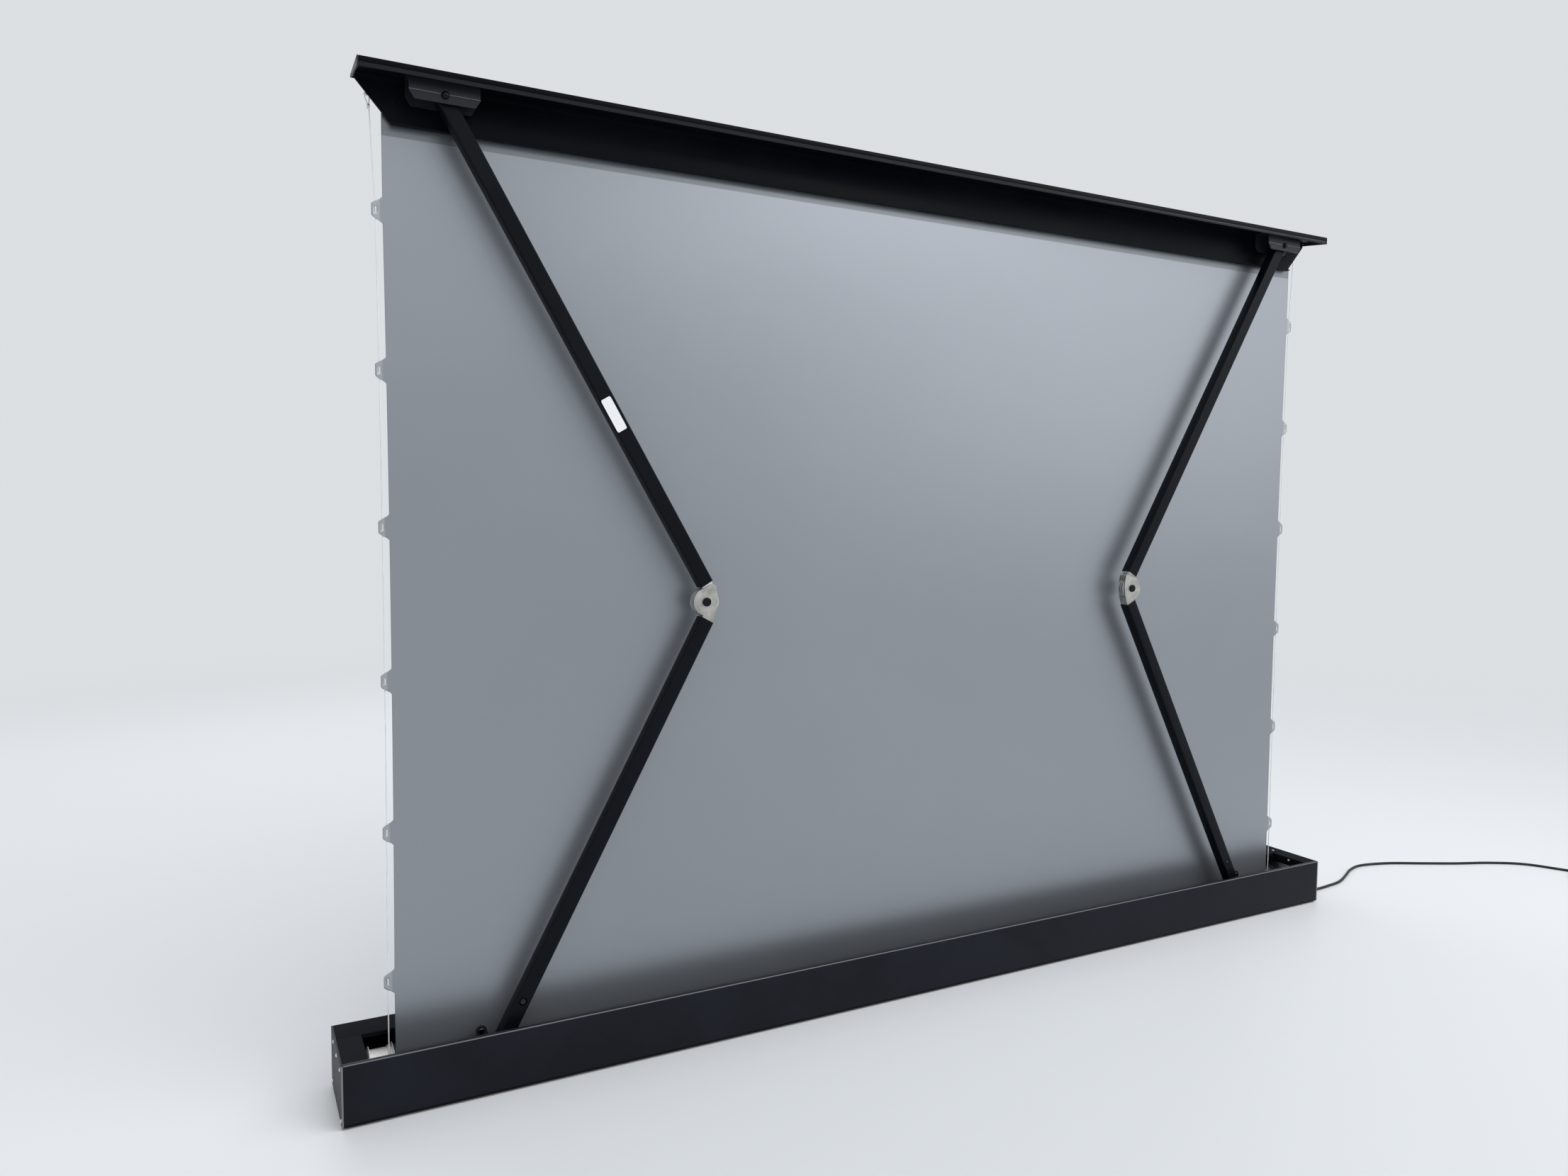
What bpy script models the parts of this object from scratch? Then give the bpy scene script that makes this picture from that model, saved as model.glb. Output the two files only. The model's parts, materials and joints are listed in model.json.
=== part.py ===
"""Floor-rising motorised projection screen.

A long black casing lies on the floor. A tubular motor inside the roller pays the fabric out, and two
jointed arms behind the fabric lift the lid that carries the fabric's top edge. Folded, the arms lie one
on the other in the casing and the lid closes its opening. Metres, +Z up, the picture side faces -Y,
and left and right are the viewer's. The model stands at its full height.
"""

import math

import bmesh
import bpy
from mathutils import Vector

MM = 0.001

# Clearances
seat_gap = 0.3 * MM
running_gap = 0.5 * MM
cut_overrun = 2.0 * MM
fillet_reach_share = 0.45

# Rounding of sheet metal edges
edge_round = 0.65 * MM
outer_round = 1.25 * MM

# Casing
casing_beyond_fabric = 99.2 * MM
base_depth = 168.6 * MM
base_height = 112.0 * MM
foot_height = 4.0 * MM
foot_width = 14.0 * MM
foot_inset = 12.0 * MM
foot_end_inset = 40.0 * MM
foot_round = 1.0 * MM
casing_wall = 2.5 * MM
casing_front_round = 5.0 * MM
casing_rear_round = 2.5 * MM
rear_lip_width = 9.0 * MM
rear_lip_height = 6.0 * MM
shelf_width = 62.0 * MM
shelf_edge_height = 8.0 * MM
rib_height = 5.0 * MM
rib_width = 3.0 * MM
end_cap_thickness = 3.0 * MM
end_cover_length = 44.0 * MM
end_cover_thickness = 3.0 * MM
end_cover_flange = 22.0 * MM

# Roller, fabric and tension cords
roller_height = 50.0 * MM
roller_tube_radius = 25.0 * MM
roller_tube_wall = 1.5 * MM
fabric_thickness = 0.5 * MM
fabric_plane_y = -3.2 * MM
wound_radius = 26.95 * MM
fabric_half_width = 1135.8 * MM
tension_cord_radius = 1.1 * MM
cord_line_offset = 11.0 * MM
cord_bow = 3.2 * MM
tab_reach = 18.0 * MM
tab_height = 47.0 * MM
tab_flat = 17.0 * MM
tab_slot_height = 12.0 * MM
tab_slot_width = 3.2 * MM
tab_count = 6
lowest_tab_height = 206.4 * MM
top_tab_drop = 197.45 * MM
drum_length = 42.0 * MM
drum_flange_radius = 31.0 * MM
drum_flange_thickness = 1.5 * MM
drum_spigot_length = 22.0 * MM
motor_radius = 17.2 * MM
motor_length = 560.0 * MM
motor_head_radius = 20.5 * MM
motor_stub_width = 10.0 * MM
drive_wheel_length = 24.0 * MM
drive_wheel_lobes = 8
drive_wheel_lobe_depth = 2.4 * MM
idler_pin_radius = 5.0 * MM
roller_bracket_thickness = 4.0 * MM
roller_bracket_gap = 2.0 * MM
roller_bracket_round = 6.0 * MM

# Control box and receiver window
control_length = 180.0 * MM
control_depth = 13.0 * MM
control_height = 52.0 * MM
control_from_end = 150.0 * MM
control_round = 3.0 * MM
window_radius = 5.0 * MM
window_dome = 0.7 * MM
window_dome_share = 0.6

# Arm linkage: each half is the mirror image of the other
arm_inset = 160.0 * MM
lower_pivot_z = 41.8 * MM
lower_arm_length = 926.2 * MM
lower_arm_angle = math.radians(62.057)
upper_arm_angle = math.radians(59.783)
knee_offset = 17.7 * MM
arm_width = 28.0 * MM
arm_depth = 26.0 * MM
arm_wall = 1.8 * MM
arm_corner = 2.5 * MM
arm_inner_corner = 0.5 * MM
arm_rear_y = 50.8 * MM
arm_end_reach = 16.0 * MM
arm_stop_short = 30.0 * MM
knuckle_radius = 27.0 * MM
knuckle_tongue = 45.0 * MM
knuckle_plate_gap = 0.5 * MM
knuckle_layers = 7
knuckle_arc_end = math.radians(-105)
knuckle_stop_reach = 36.8 * MM
knuckle_stop_half = 4.8 * MM
knuckle_stop_round = 2.8 * MM
knuckle_belly_radius = 95.0 * MM
knuckle_slot_gap = 1.5 * MM
knee_pin_radius = 6.0 * MM
knee_cap_radius = 8.6 * MM
knee_cap_height = 3.0 * MM
knee_cap_share = 0.8
pivot_pin_radius = 5.0 * MM
pivot_head_radius = 7.5 * MM
pivot_head_height = 3.0 * MM
washer_radius = 10.0 * MM
open_pivot_play = 2.6 * MM
anchor_bolt_place = 118.0 * MM
anchor_hole_radius = 7.4 * MM
anchor_bolt_radius = 5.6 * MM
anchor_bolt_shank = 3.0 * MM
anchor_bolt_head_height = 4.0 * MM
spring_radius = 8.0 * MM
spring_wire = 1.6 * MM
spring_length = 330.0 * MM

# Arm brackets on the casing floor
ear_thickness = 3.0 * MM
rear_ear_y = 54.8 * MM
front_ear_y = 18.8 * MM
ear_radius = 14.0 * MM
ear_foot_half = 30.0 * MM
bracket_floor = 3.0 * MM
ear_shoulder = 6.0 * MM
ear_arc_start = math.radians(-10)
ear_arc_end = math.radians(190)
lug_outward = 14.2 * MM
lug_z = 94.0 * MM
lug_radius = 10.0 * MM
lug_bolt_radius = 5.2 * MM
lug_bolt_shank = 3.0 * MM
lug_bolt_head = 2.4 * MM
lug_head_edge_share = 0.7
lug_head_top_share = 0.8

# Lid
lid_top_above_pivot = 33.8 * MM
lid_end_gap = 9.5 * MM
lid_side_gap = 1.2 * MM
lid_wall = 2.5 * MM
lid_lip = 17.0 * MM
lid_front_lip = 4.5 * MM
lid_groove_drop = 8.0 * MM
lid_groove_height = 2.0 * MM
lid_groove_depth = 0.9 * MM
lid_cap_thickness = 2.5 * MM
lid_bracket_width = 117.0 * MM
lid_bracket_drop = 47.0 * MM
lid_bracket_step_drop = 31.0 * MM
lid_bracket_step = 1.2 * MM
lid_bracket_chamfer = 10.0 * MM
lid_bracket_wall = 3.0 * MM
lid_bracket_rear_y = 57.8 * MM
lid_bracket_front_y = 15.3 * MM
dome_radius = 6.4 * MM
dome_height = 3.2 * MM

# Fabric bar that hangs from the lid
bar_drop = 79.4 * MM
bar_wall = 3.0 * MM
bar_rear_y = 4.3 * MM
bar_flange = 8.0 * MM
bar_return = 8.0 * MM
bar_end_gap = 1.0 * MM
bar_end_slope_top = 12.0 * MM
bar_end_slope_run = 60.0 * MM
bar_hole_radius = 2.4 * MM
bar_hole_inset = 68.0 * MM
bar_hole_drop = 42.0 * MM
clamp_drop = 20.0 * MM
clamp_height = 15.0 * MM
clamp_front_y = -6.2 * MM
clamp_grip = 12.0 * MM
anchor_peg_radius = 2.6 * MM
anchor_peg_outward = 21.8 * MM
anchor_peg_drop = 33.0 * MM

# Power cord
cord_radius = 3.5 * MM
cord_exit_y = 29.0 * MM
cord_exit_z = 24.0 * MM
gland_flange_radius = 9.0 * MM
gland_flange_length = 3.0 * MM
gland_root_radius = 7.0 * MM
gland_length = 27.0 * MM
gland_bore_gap = 0.3 * MM
gland_tip_wall = 1.1 * MM
cord_point_spacing = 18.0 * MM
coil_middle_radius = 38.5 * MM
coil_step = 7.6 * MM
coil_turns_per_layer = 3
coil_points_per_turn = 24
coil_start_angle = math.radians(206)
coil_tail = 48.0 * MM
coil_x = -2123.0 * MM
coil_y = 336.0 * MM
coil_lift = 1.0 * MM
tie_width = 9.0 * MM
tie_thickness = 0.6 * MM
tie_angle = math.radians(30)
plug_length = 42.0 * MM
plug_width = 30.0 * MM
plug_height = 20.0 * MM
plug_relief_length = 22.0 * MM
plug_relief_radius = 4.9 * MM
plug_shoulder_share = 0.75
plug_swell_share = 0.35
plug_taper_share = 0.95
plug_face_share = 0.93
plug_squareness = 4
plug_pin_radius = 2.2 * MM
plug_pin_length = 19.0 * MM
plug_pin_spacing = 19.0 * MM

# The visible run of the cord along the floor, from the gland to the coil
cord_route = [
    (-1262.5, 29.0, 24.0),
    (-1272.0, 28.8, 21.5),
    (-1285.0, 27.6, 13.5),
    (-1300.0, 25.8, 6.4),
    (-1320.0, 23.6, 3.8),
    (-1370.0, 19.5, 3.6),
    (-1434.0, 10.0, 3.6),
    (-1500.0, -17.0, 3.6),
    (-1562.0, -45.0, 3.6),
    (-1628.0, -57.0, 3.6),
    (-1722.0, -33.6, 3.6),
    (-1815.0, 13.0, 3.6),
    (-1905.0, 58.0, 3.6),
    (-2006.0, 101.0, 3.6),
    (-2088.0, 156.0, 3.6),
    (-2134.0, 232.0, 3.6),
]

# Places worked out from the sizes above
half_length = fabric_half_width + casing_beyond_fabric
half_depth = base_depth / 2
inner_half_length = half_length - end_cap_thickness
floor_top = foot_height + casing_wall
opening_rear_y = half_depth - rear_lip_width
opening_front_y = shelf_width - half_depth
opening_half_length = half_length - end_cover_length
lid_half_length = opening_half_length - lid_end_gap
bar_half_length = lid_half_length - lid_cap_thickness - bar_end_gap
anchor_peg_x = fabric_half_width + anchor_peg_outward
lower_pivot_x = fabric_half_width - arm_inset
lug_x = lower_pivot_x + lug_outward
lid_rear_y = opening_rear_y - lid_side_gap
lid_front_y = opening_front_y + lid_side_gap
arm_middle_y = arm_rear_y - arm_depth / 2
arm_front_y = arm_rear_y - arm_depth
roller_y = fabric_plane_y - fabric_thickness / 2 - seat_gap - wound_radius
cord_y = fabric_plane_y - fabric_thickness / 2 - seat_gap - tension_cord_radius
drum_barrel_radius = cord_y - tension_cord_radius - seat_gap - roller_y
drum_start = fabric_half_width + drum_flange_thickness
drum_end = drum_start + drum_length
roller_bracket_x = opening_half_length + end_cover_thickness + seat_gap
motor_head_length = roller_bracket_x - seat_gap - drum_end - roller_bracket_gap
upper_arm_length = (
    lower_arm_length * (1 - math.cos(lower_arm_angle))
    + knee_offset * (math.sin(lower_arm_angle) - math.sin(upper_arm_angle))
) / (1 - math.cos(upper_arm_angle))
knee_x = (
    lower_pivot_x
    - lower_arm_length * math.cos(lower_arm_angle)
    + knee_offset * math.sin(lower_arm_angle)
)
knee_z = (
    lower_pivot_z
    + lower_arm_length * math.sin(lower_arm_angle)
    + knee_offset * math.cos(lower_arm_angle)
)
top_pivot_x = knee_x + upper_arm_length * math.cos(upper_arm_angle) - knee_offset * math.sin(upper_arm_angle)
top_pivot_z = knee_z + upper_arm_length * math.sin(upper_arm_angle) + knee_offset * math.cos(upper_arm_angle)
lid_top = top_pivot_z + lid_top_above_pivot
bar_bottom = lid_top - bar_drop
clamp_top = lid_top - clamp_drop
fabric_top = clamp_top - (clamp_height - clamp_grip)
highest_tab_height = fabric_top - top_tab_drop
tab_pitch = (highest_tab_height - lowest_tab_height) / (tab_count - 1)
tab_middle_height = (lowest_tab_height + highest_tab_height) / 2

SIDES = {"right": 1, "left": -1}


def clear_scene():
    for item in list(bpy.data.objects):
        bpy.data.objects.remove(item, do_unlink=True)


def make_material(name, colour, roughness, metallic=0.0):
    material = bpy.data.materials.new(name)
    material.use_nodes = True
    shader = material.node_tree.nodes["Principled BSDF"]
    shader.inputs["Base Color"].default_value = (*colour, 1.0)
    shader.inputs["Roughness"].default_value = roughness
    shader.inputs["Metallic"].default_value = metallic
    return material


def make_materials():
    return {
        "casing": make_material("casing_black", (0.022, 0.024, 0.030), 0.42, 0.6),
        "arm": make_material("arm_black", (0.016, 0.018, 0.022), 0.38, 0.5),
        "bracket": make_material("bracket_black", (0.022, 0.024, 0.028), 0.45, 0.6),
        "steel": make_material("brushed_steel", (0.55, 0.55, 0.54), 0.32, 1.0),
        "zinc": make_material("zinc_plate", (0.62, 0.63, 0.64), 0.35, 1.0),
        "nylon": make_material("white_nylon", (0.80, 0.80, 0.78), 0.45),
        "fabric": make_material("grey_fabric", (0.26, 0.28, 0.31), 0.6),
        "cord": make_material("clear_cord", (0.75, 0.76, 0.76), 0.35),
        "aluminium": make_material("plain_aluminium", (0.66, 0.66, 0.67), 0.35, 1.0),
        "plastic": make_material("black_plastic", (0.02, 0.02, 0.022), 0.5),
        "rubber": make_material("black_rubber", (0.015, 0.015, 0.016), 0.75),
        "grey": make_material("grey_cap", (0.16, 0.17, 0.18), 0.45),
        "spring": make_material("spring_steel", (0.40, 0.40, 0.41), 0.35, 1.0),
        "window": make_material("dark_window", (0.03, 0.005, 0.008), 0.1),
    }


def joint_empty(name, x, y, z, parent=None):
    """An empty on a joint's axis, which carries every piece of the moving body."""
    empty = bpy.data.objects.new(name, None)
    bpy.context.collection.objects.link(empty)
    empty.location = Vector((x, y, z)) - (parent["centre"] if parent else Vector())
    if parent:
        empty.parent = parent["empty"]
    return {"empty": empty, "centre": Vector((x, y, z))}


def finish(mesh_builder, name, material, body=None):
    """Turns a bmesh that is drawn in world coordinates into a named object on its body."""
    centre = body["centre"] if body else Vector()
    bmesh.ops.recalc_face_normals(mesh_builder, faces=mesh_builder.faces)
    bmesh.ops.translate(mesh_builder, verts=mesh_builder.verts, vec=-centre)
    mesh = bpy.data.meshes.new(name)
    mesh_builder.to_mesh(mesh)
    mesh_builder.free()
    item = bpy.data.objects.new(name, mesh)
    bpy.context.collection.objects.link(item)
    if body:
        item.parent = body["empty"]
    if material:
        mesh.materials.append(material)
    return item


def to_world(axis, along, first, second):
    """A point of an outline that stands square to the axis."""
    if axis == "x":
        return (along, first, second)
    if axis == "y":
        return (first, along, second)
    return (first, second, along)


def add_prism(mesh_builder, outline, axis, start, end, hole=None):
    """Extrudes an outline along an axis, with an optional hole outline of as many points."""
    rings = []
    for along in (start, end):
        rings.append([mesh_builder.verts.new(to_world(axis, along, a, b)) for a, b in outline])
    for index in range(len(outline)):
        after = (index + 1) % len(outline)
        mesh_builder.faces.new((rings[0][index], rings[0][after], rings[1][after], rings[1][index]))
    if hole is None:
        mesh_builder.faces.new(rings[0])
        mesh_builder.faces.new(list(reversed(rings[1])))
        return
    holes = []
    for along in (start, end):
        holes.append([mesh_builder.verts.new(to_world(axis, along, a, b)) for a, b in hole])
    for index in range(len(outline)):
        after = (index + 1) % len(outline)
        mesh_builder.faces.new((holes[0][after], holes[0][index], holes[1][index], holes[1][after]))
        mesh_builder.faces.new((rings[0][after], rings[0][index], holes[0][index], holes[0][after]))
        mesh_builder.faces.new((rings[1][index], rings[1][after], holes[1][after], holes[1][index]))


def add_turned(mesh_builder, profile, axis, centre, segments=24):
    """Turns a closed profile of (along, radius) points about an axis through the centre."""
    rings = []
    for along, radius in profile:
        if radius == 0:
            rings.append([mesh_builder.verts.new(to_world(axis, *turned_point(axis, centre, along, 0, 0)))])
            continue
        ring = []
        for step in range(segments):
            angle = 2 * math.pi * step / segments
            point = turned_point(axis, centre, along, radius * math.cos(angle), radius * math.sin(angle))
            ring.append(mesh_builder.verts.new(to_world(axis, *point)))
        rings.append(ring)
    pairs = list(zip(rings, rings[1:]))
    if len(rings[0]) > 1:
        pairs.append((rings[-1], rings[0]))
    for first, second in pairs:
        join_rings(mesh_builder, first, second, segments)


def join_rings(mesh_builder, first, second, segments):
    for step in range(segments):
        after = (step + 1) % segments
        if len(first) == 1 and len(second) == 1:
            return
        if len(first) == 1:
            mesh_builder.faces.new((first[0], second[after], second[step]))
        elif len(second) == 1:
            mesh_builder.faces.new((first[step], first[after], second[0]))
        else:
            mesh_builder.faces.new((first[step], first[after], second[after], second[step]))


def turned_point(axis, centre, along, first, second):
    """The along value and the two outline values of a point about a centre."""
    x, y, z = centre
    if axis == "x":
        return (x + along, y + first, z + second)
    if axis == "y":
        return (y + along, x + first, z + second)
    return (z + along, x + first, y + second)


def fillet(corners, radius, steps=3):
    """Rounds each corner of an outline; a third value on a corner is its own radius."""
    outline = []
    for index, corner in enumerate(corners):
        here = Vector(corner[:2])
        own = corner[2] if len(corner) > 2 else radius
        before = Vector(corners[index - 1][:2]) - here
        after = Vector(corners[(index + 1) % len(corners)][:2]) - here
        half = before.angle(after) / 2
        reach = min(own / math.tan(half), before.length * fillet_reach_share,
                    after.length * fillet_reach_share)
        own = reach * math.tan(half)
        if own < seat_gap:
            outline.append((here.x, here.y))
            continue
        middle = here + (before.normalized() + after.normalized()).normalized() * (own / math.sin(half))
        start = here + before.normalized() * reach - middle
        turn = start.angle_signed(here + after.normalized() * reach - middle)
        for step in range(steps + 1):
            angle = -turn * step / steps
            outline.append((
                middle.x + start.x * math.cos(angle) - start.y * math.sin(angle),
                middle.y + start.x * math.sin(angle) + start.y * math.cos(angle),
            ))
    return outline


def circle(x, y, radius, steps=24):
    outline = []
    for step in range(steps):
        angle = 2 * math.pi * step / steps
        outline.append((x + radius * math.cos(angle), y + radius * math.sin(angle)))
    return outline


def square(x, y, half):
    return [(x - half, y - half), (x + half, y - half), (x + half, y + half), (x - half, y + half)]


def arc(x, y, radius, start, end, steps):
    outline = []
    for step in range(steps + 1):
        angle = start + (end - start) * step / steps
        outline.append((x + radius * math.cos(angle), y + radius * math.sin(angle)))
    return outline


def solid(name, outline, axis, start, end, material, body=None, hole=None):
    mesh_builder = bmesh.new()
    add_prism(mesh_builder, outline, axis, start, end, hole)
    return finish(mesh_builder, name, material, body)


def cutter(name, outline, axis, start, end):
    return as_tool(solid(name, outline, axis, start, end, None))


def cut(item, tool):
    boolean = item.modifiers.new(tool.name, "BOOLEAN")
    boolean.operation = "DIFFERENCE"
    boolean.solver = "EXACT"
    boolean.object = tool


def join(item, tool):
    boolean = item.modifiers.new(tool.name, "BOOLEAN")
    boolean.operation = "UNION"
    boolean.solver = "EXACT"
    boolean.object = tool


def as_tool(item):
    item.hide_render = True
    item.display_type = "WIRE"
    return item


def smooth(item, degrees=35.0):
    item.data.shade_smooth()
    item.data.set_sharp_from_angle(angle=math.radians(degrees))


def mirrored(points, sign):
    """Outline points given for the right side, in (x, z), turned to either side."""
    return [(sign * point[0], *point[1:]) for point in points]


def build_casing(materials):
    rear = half_depth
    front = -half_depth
    top = base_height
    bottom = foot_height
    wall = casing_wall
    tray_rear = rear - wall - seat_gap
    tray_front = front + wall + seat_gap

    rear_outline = fillet([
        (rear, bottom, outer_round), (rear, top, casing_rear_round), (opening_rear_y, top, edge_round),
        (opening_rear_y, top - rear_lip_height, edge_round),
        (opening_rear_y + wall, top - rear_lip_height, 0),
        (opening_rear_y + wall, top - wall, edge_round), (rear - wall, top - wall, edge_round),
        (rear - wall, floor_top + rib_height, 0), (rear - wall - rib_width, floor_top + rib_height, 0),
        (rear - wall - rib_width, floor_top + seat_gap, 0), (rear - wall, floor_top + seat_gap, 0),
        (rear - wall, bottom, 0),
    ], 0)
    solid("base_rear_profile", rear_outline, "x", -inner_half_length + seat_gap,
          inner_half_length - seat_gap, materials["casing"])

    front_outline = fillet([
        (front, bottom, outer_round), (front + wall, bottom, 0), (front + wall, floor_top + seat_gap, 0),
        (front + wall + rib_width, floor_top + seat_gap, 0),
        (front + wall + rib_width, floor_top + rib_height, 0),
        (front + wall, floor_top + rib_height, 0), (front + wall, top - wall, outer_round),
        (opening_front_y - wall, top - wall, 0), (opening_front_y - wall, top - shelf_edge_height, 0),
        (opening_front_y, top - shelf_edge_height, edge_round), (opening_front_y, top, edge_round),
        (front, top, casing_front_round),
    ], 0, 4)
    front_profile = solid("base_front_profile", front_outline, "x", -inner_half_length + seat_gap,
                          inner_half_length - seat_gap, materials["casing"])
    window_x = -half_length + control_from_end + control_length / 2
    window_z = roller_height
    hole = circle(window_x, window_z, window_radius + seat_gap, 20)
    cut(front_profile, cutter("window_hole_cutter", hole, "y", front - cut_overrun,
                              front + wall + cut_overrun))
    mesh_builder = bmesh.new()
    add_turned(mesh_builder, [
        (seat_gap, window_radius), (seat_gap, 0), (-wall - window_dome, 0),
        (-wall - window_dome, window_radius * window_dome_share), (-wall, window_radius),
    ], "y", (window_x, front + wall, window_z), 20)
    smooth(finish(mesh_builder, "receiver_window", materials["window"]))

    tray_outline = [
        (tray_rear, bottom), (tray_rear, floor_top), (tray_front, floor_top), (tray_front, bottom),
    ]
    solid("base_bottom_tray", tray_outline, "x", -inner_half_length + seat_gap,
          inner_half_length - seat_gap, materials["casing"])

    for name, direction in (("front_foot_strip", -1), ("rear_foot_strip", 1)):
        middle = direction * (half_depth - foot_inset - foot_width / 2)
        outline = fillet([
            (middle - foot_width / 2, 0), (middle + foot_width / 2, 0),
            (middle + foot_width / 2, foot_height - seat_gap, 0),
            (middle - foot_width / 2, foot_height - seat_gap, 0),
        ], foot_round, 2)
        solid(name, outline, "x", -half_length + foot_end_inset, half_length - foot_end_inset,
              materials["rubber"])


def build_end_caps(materials):
    outline = fillet([
        (half_depth, foot_height), (half_depth, base_height, casing_rear_round),
        (-half_depth, base_height, casing_front_round), (-half_depth, foot_height),
    ], outer_round, 4)
    for side, sign in SIDES.items():
        inner, outer = sign * inner_half_length, sign * half_length
        cap = solid(side + "_end_cap", outline, "x", min(inner, outer), max(inner, outer),
                    materials["casing"])
        if side == "left":
            shape = circle(cord_exit_y, cord_exit_z, cord_radius + gland_bore_gap, 16)
            cut(cap, cutter("cord_hole_cutter", shape, "x", outer - cut_overrun, inner + cut_overrun))
        build_end_cover(side, sign, materials)


def build_end_cover(side, sign, materials):
    """The plate that closes the casing's top between the end cap and the opening."""
    inner = opening_half_length
    outer = inner_half_length - seat_gap
    under = base_height - end_cover_thickness
    outline = fillet(mirrored([
        (outer, under, 0), (outer, base_height, 0), (inner, base_height, edge_round),
        (inner, base_height - end_cover_flange, edge_round),
        (inner + end_cover_thickness, base_height - end_cover_flange, 0),
        (inner + end_cover_thickness, under, 0),
    ], sign), 0)
    solid(side + "_top_cover", outline, "y", opening_front_y + seat_gap, opening_rear_y - seat_gap,
          materials["casing"])


def build_roller(materials, roller):
    axis_point = (0, roller_y, roller_height)
    tube = bmesh.new()
    tube_half = fabric_half_width + drum_flange_thickness - seat_gap
    add_prism(tube, circle(roller_y, roller_height, roller_tube_radius, 32), "x", -tube_half, tube_half,
              circle(roller_y, roller_height, roller_tube_radius - roller_tube_wall, 32))
    smooth(finish(tube, "roller_tube", materials["aluminium"], roller))

    wound = []
    steps = 40
    for step in range(steps + 1):
        angle = 2 * math.pi * step / steps
        radius = wound_radius - fabric_thickness * step / steps
        wound.append((roller_y + radius * math.cos(angle), roller_height + radius * math.sin(angle)))
    hole = []
    for step in range(steps + 1):
        angle = 2 * math.pi * step / (steps + 1)
        radius = roller_tube_radius + seat_gap
        hole.append((roller_y + radius * math.cos(angle), roller_height + radius * math.sin(angle)))
    smooth(solid("wound_fabric", wound, "x", -fabric_half_width + seat_gap, fabric_half_width - seat_gap,
                 materials["fabric"], roller, hole))

    spigot = roller_tube_radius - roller_tube_wall - seat_gap
    bore = {"right": idler_pin_radius + running_gap, "left": motor_radius + running_gap}
    for side, sign in SIDES.items():
        start = drum_start
        profile = [
            (start - drum_spigot_length, bore[side]), (start - drum_spigot_length, spigot), (start, spigot),
            (start, drum_flange_radius), (start + drum_flange_thickness, drum_flange_radius),
            (start + drum_flange_thickness, drum_barrel_radius),
            (drum_end - drum_flange_thickness, drum_barrel_radius),
            (drum_end - drum_flange_thickness, drum_flange_radius), (drum_end, drum_flange_radius),
            (drum_end, bore[side]),
        ]
        drum = bmesh.new()
        add_turned(drum, [(sign * along, radius) for along, radius in profile], "x", axis_point, 32)
        smooth(finish(drum, side + "_cord_drum", materials["nylon"], roller))

    motor_start = -(drum_end + roller_bracket_gap)
    motor = bmesh.new()
    add_turned(motor, [
        (-motor_head_length, 0), (-motor_head_length, motor_head_radius), (0, motor_head_radius),
        (0, motor_radius), (motor_length, motor_radius), (motor_length, 0),
    ], "x", (motor_start, roller_y, roller_height), 28)
    motor_item = finish(motor, "tubular_motor", materials["plastic"])
    smooth(motor_item)
    stub_end = motor_start - motor_head_length - seat_gap - roller_bracket_thickness
    join(motor_item, cutter("motor_stub_tool", square(roller_y, roller_height, motor_stub_width / 2), "x",
                            stub_end, motor_start - motor_head_length / 2))

    wheel = bmesh.new()
    wheel_radius = roller_tube_radius - roller_tube_wall - seat_gap
    steps = 4 * drive_wheel_lobes
    outline = []
    for step in range(steps):
        angle = 2 * math.pi * step / steps
        radius = wheel_radius if step % 4 < 2 else wheel_radius - drive_wheel_lobe_depth
        outline.append((roller_y + radius * math.cos(angle), roller_height + radius * math.sin(angle)))
    wheel_start = motor_start + motor_length + running_gap
    add_prism(wheel, outline, "x", wheel_start, wheel_start + drive_wheel_length)
    finish(wheel, "drive_wheel", materials["nylon"], roller)

    idler = bmesh.new()
    add_prism(idler, circle(roller_y, roller_height, idler_pin_radius, 20), "x",
              drum_start - drum_spigot_length, roller_bracket_x + roller_bracket_thickness)
    smooth(finish(idler, "idler_pin", materials["steel"]))


def build_roller_brackets(materials):
    rear = half_depth - casing_wall - rib_width - seat_gap
    front = -half_depth + casing_wall + rib_width + seat_gap
    top = base_height - shelf_edge_height - seat_gap
    outline = fillet([
        (rear, floor_top + seat_gap), (rear, top, roller_bracket_round), (front, top, roller_bracket_round),
        (front, floor_top + seat_gap),
    ], 0)
    for side, sign in SIDES.items():
        near = sign * roller_bracket_x
        far = sign * (roller_bracket_x + roller_bracket_thickness)
        plate = solid(side + "_roller_bracket", outline, "x", min(near, far), max(near, far),
                      materials["zinc"])
        if side == "right":
            shape = circle(roller_y, roller_height, idler_pin_radius + seat_gap, 20)
        else:
            shape = square(roller_y, roller_height, motor_stub_width / 2 + seat_gap)
        cut(plate, cutter(side + "_bracket_cutter", shape, "x", min(near, far) - cut_overrun,
                          max(near, far) + cut_overrun))


def build_control_box(materials):
    rear = -half_depth + casing_wall + seat_gap + control_depth
    start = -half_length + control_from_end
    bottom = roller_height - control_height / 2
    outline = fillet([
        (rear - control_depth, bottom), (rear, bottom), (rear, bottom + control_height),
        (rear - control_depth, bottom + control_height),
    ], control_round)
    solid("control_box", outline, "x", start, start + control_length, materials["plastic"])


def arm_frame(pivot, direction, outward):
    """Gives a function from a place along and across an arm to (x, z) in the world."""
    def place(along, across):
        return (
            pivot[0] + direction[0] * along + outward[0] * across,
            pivot[1] + direction[1] * along + outward[1] * across,
        )
    return place


def lower_frame(sign):
    """Along runs from the casing pivot to the knee, and across points to the knee pin's side."""
    cosine, sine = math.cos(lower_arm_angle), math.sin(lower_arm_angle)
    return arm_frame((sign * lower_pivot_x, lower_pivot_z), (-sign * cosine, sine), (sign * sine, cosine))


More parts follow.
